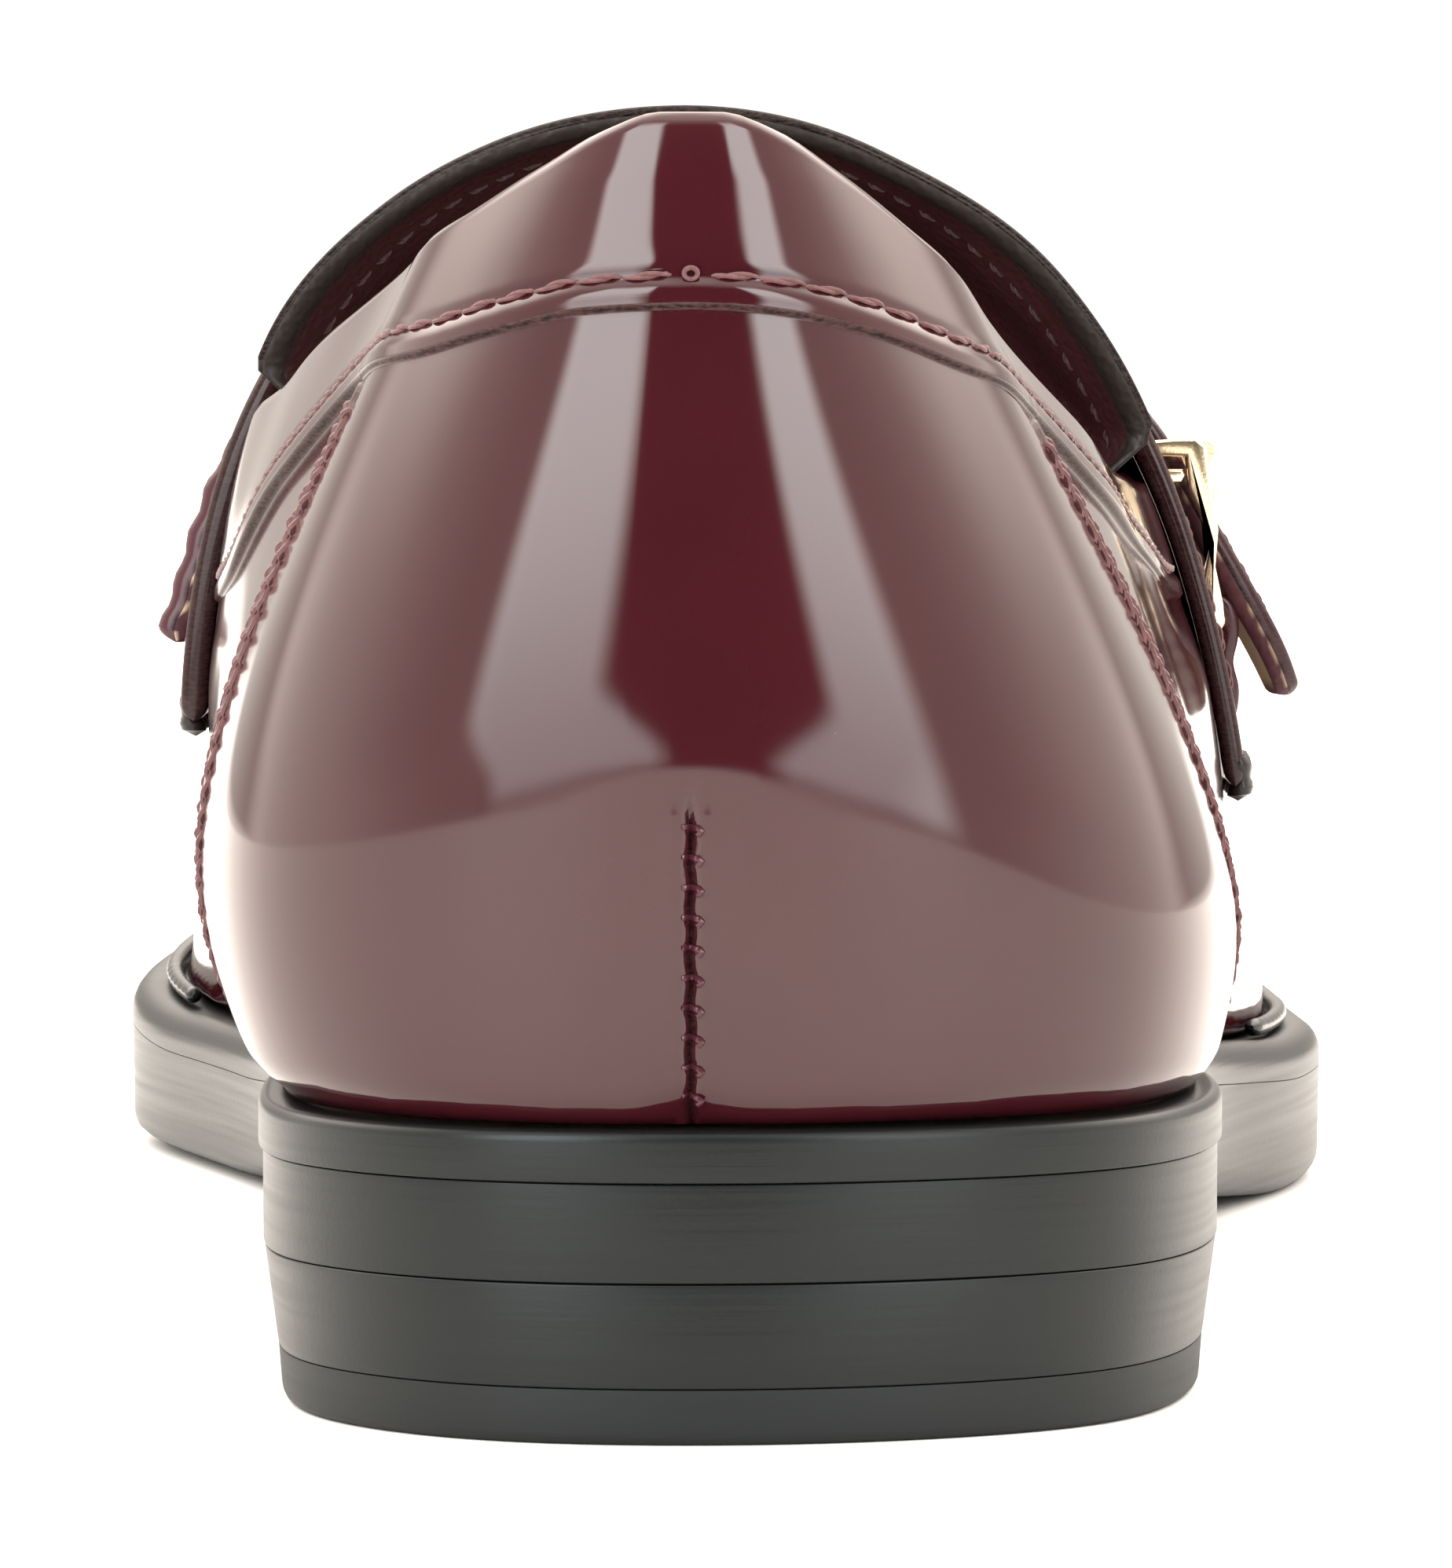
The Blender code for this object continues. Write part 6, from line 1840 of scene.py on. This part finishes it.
def look_of(name):
    """One of the shoe's materials, made the first time that a piece asks for it."""
    made = bpy.data.materials.get(name)
    if made:
        return made
    scene = bpy.context.scene
    leather, seams, sole = scene.loafer_leather, scene.loafer_seams, scene.loafer_sole
    calf = (leather.upper, leather.roughness, leather.finish, leather.haze)
    strap = (leather.strap, leather.roughness + 0.06, leather.finish * 0.7, leather.haze + 0.1)
    looks = {
        "burgundy_calf": lambda: leather_look(name, *calf, leather.raw),
        "dark_edged_calf": lambda: leather_look(name, *calf, leather.edge),
        "plum_strap": lambda: leather_look(name, *strap, leather.edge, pore_depth=0.7, bump=0.00008),
        "burgundy_lining": lambda: plain_leather_look(name, leather.lining, 0.5, leather.edge),
        "bare_flesh_side": lambda: plain_leather_look(name, leather.flesh, 0.75, leather.strap),
        # This look also fills the strap's holes, where its dark colour is painted shade.
        "edge_paint_and_hole_shade": lambda: sole_look(name, leather.edge, 0.28, 900.0),
        "footbed_leather": lambda: plain_leather_look(name, leather.footbed, 0.55, leather.footbed),
        "mauve_thread": lambda: thread_look(name, seams.thread_colour),
        "burgundy_thread": lambda: thread_look(name, seams.dark_thread),
        "inked_edge": lambda: sole_look(name, sole.edge, sole.roughness, sole.fineness),
        "waxed_bead": lambda: sole_look(name, sole.edge, 0.24, sole.fineness),
        "moulded_rubber": lambda: sole_look(name, sole.rubber, 0.55, sole.fineness * 0.6),
        "pale_gold_plate": lambda: metal_look(name, scene.loafer_buckle.metal),
    }
    return looks[name]()


# Operators


class LOAFER_OT_upper(bpy.types.Operator):
    """Builds the lasted upper with its lining, collar band, counter, seams and creases"""

    bl_idname = "loafer.upper"
    bl_label = "Upper"

    def execute(self, context):
        make_upper([look_of("burgundy_calf"), look_of("burgundy_lining")])
        return {"FINISHED"}


class LOAFER_OT_stitches(bpy.types.Operator):
    """Sews the collar, the counter, the back dart and the vamp"""

    bl_idname = "loafer.stitches"
    bl_label = "Stitches"

    def execute(self, context):
        seams = context.scene.loafer_seams
        thread, look = seams.thread_radius / MM, look_of("mauve_thread")
        make_collar_stitches(look, thread)
        make_counter_stitches(look, thread)
        make_dart_stitches(look_of("plum_strap"), thread)
        make_apron_stitches(look_of("burgundy_thread"), thread)
        return {"FINISHED"}


class LOAFER_OT_tongue(bpy.types.Operator):
    """Builds the tongue and its row of stitches"""

    bl_idname = "loafer.tongue"
    bl_label = "Tongue"

    def execute(self, context):
        make_tongue([look_of("dark_edged_calf"), look_of("burgundy_lining")])
        make_tongue_stitches(look_of("burgundy_thread"), context.scene.loafer_seams.thread_radius / MM)
        return {"FINISHED"}


class LOAFER_OT_saddle(bpy.types.Operator):
    """Builds the saddle over the instep, its stitches and its bound ends"""

    bl_idname = "loafer.saddle"
    bl_label = "Saddle"

    def execute(self, context):
        make_saddle([look_of("dark_edged_calf"), look_of("burgundy_lining")])
        make_saddle_stitches(look_of("mauve_thread"), context.scene.loafer_seams.thread_radius / MM)
        make_saddle_rolls(look_of("edge_paint_and_hole_shade"))
        return {"FINISHED"}


class LOAFER_OT_strap(bpy.types.Operator):
    """Builds the strap with its stitches and holes, and the tab that holds the buckle"""

    bl_idname = "loafer.strap"
    bl_label = "Strap and tab"

    def execute(self, context):
        make_strap([look_of("plum_strap"), look_of("bare_flesh_side")])
        make_strap_stitches(look_of("burgundy_thread"), context.scene.loafer_seams.thread_radius / MM)
        make_strap_holes(look_of("edge_paint_and_hole_shade"))
        make_tab([look_of("plum_strap"), look_of("plum_strap")])
        return {"FINISHED"}


class LOAFER_OT_buckle(bpy.types.Operator):
    """Builds the buckle's frame and prong"""

    bl_idname = "loafer.buckle"
    bl_label = "Buckle"

    def execute(self, context):
        make_buckle(look_of("pale_gold_plate"))
        make_prong(look_of("pale_gold_plate"))
        return {"FINISHED"}


class LOAFER_OT_sole(bpy.types.Operator):
    """Builds the welt with its bead, the ribbed outsole and the footbed"""

    bl_idname = "loafer.sole"
    bl_label = "Sole"

    def execute(self, context):
        make_welt(look_of("inked_edge"))
        make_outsole([look_of("inked_edge"), look_of("moulded_rubber")])
        make_insole(look_of("footbed_leather"))
        make_bead(look_of("waxed_bead"))
        return {"FINISHED"}


class LOAFER_OT_heel(bpy.types.Operator):
    """Builds the heel block and the top piece under it"""

    bl_idname = "loafer.heel"
    bl_label = "Heel"

    def execute(self, context):
        make_heel(look_of("inked_edge"), look_of("moulded_rubber"))
        return {"FINISHED"}


class LOAFER_OT_stage(bpy.types.Operator):
    """Sets the floor, the studio light and the camera"""

    bl_idname = "loafer.stage"
    bl_label = "Stage"

    def execute(self, context):
        stage = context.scene.loafer_stage
        make_floor(stage.floor, stage.floor_size)
        make_world(stage.boxes, stage.sides, stage.beyond, stage.above, stage.behind)
        make_camera()
        context.scene.view_settings.view_transform = "Standard"
        return {"FINISHED"}


STEPS = (
    LOAFER_OT_upper, LOAFER_OT_stitches, LOAFER_OT_tongue, LOAFER_OT_saddle, LOAFER_OT_strap,
    LOAFER_OT_buckle, LOAFER_OT_sole, LOAFER_OT_heel, LOAFER_OT_stage,
)
SETTINGS = {
    "loafer_leather": LeatherSettings, "loafer_seams": SeamSettings, "loafer_sole": SoleSettings,
    "loafer_buckle": BuckleSettings, "loafer_stage": StageSettings,
}


class LOAFER_PT_panel(bpy.types.Panel):
    """Lists the loafer's settings and the steps that build it"""

    bl_idname = "LOAFER_PT_panel"
    bl_label = "Buckle loafer"
    bl_space_type = "VIEW_3D"
    bl_region_type = "UI"
    bl_category = "Loafer"

    def draw(self, context):
        for name, group in SETTINGS.items():
            box = self.layout.box()
            for title in group.__annotations__:
                box.prop(getattr(context.scene, name), title)
        for step in STEPS:
            self.layout.operator(step.bl_idname)


def register():
    for group in (*SETTINGS.values(), *STEPS, LOAFER_PT_panel):
        bpy.utils.register_class(group)
    for name, group in SETTINGS.items():
        setattr(bpy.types.Scene, name, bpy.props.PointerProperty(type=group))


def unregister():
    for name in SETTINGS:
        delattr(bpy.types.Scene, name)
    for group in reversed((*SETTINGS.values(), *STEPS, LOAFER_PT_panel)):
        bpy.utils.unregister_class(group)


def main():
    register()
    bpy.ops.loafer.upper()
    bpy.ops.loafer.stitches()
    bpy.ops.loafer.tongue()
    bpy.ops.loafer.saddle()
    bpy.ops.loafer.strap()
    bpy.ops.loafer.buckle()
    bpy.ops.loafer.sole()
    bpy.ops.loafer.heel()
    bpy.ops.loafer.stage()


if __name__ == "__main__":
    main()
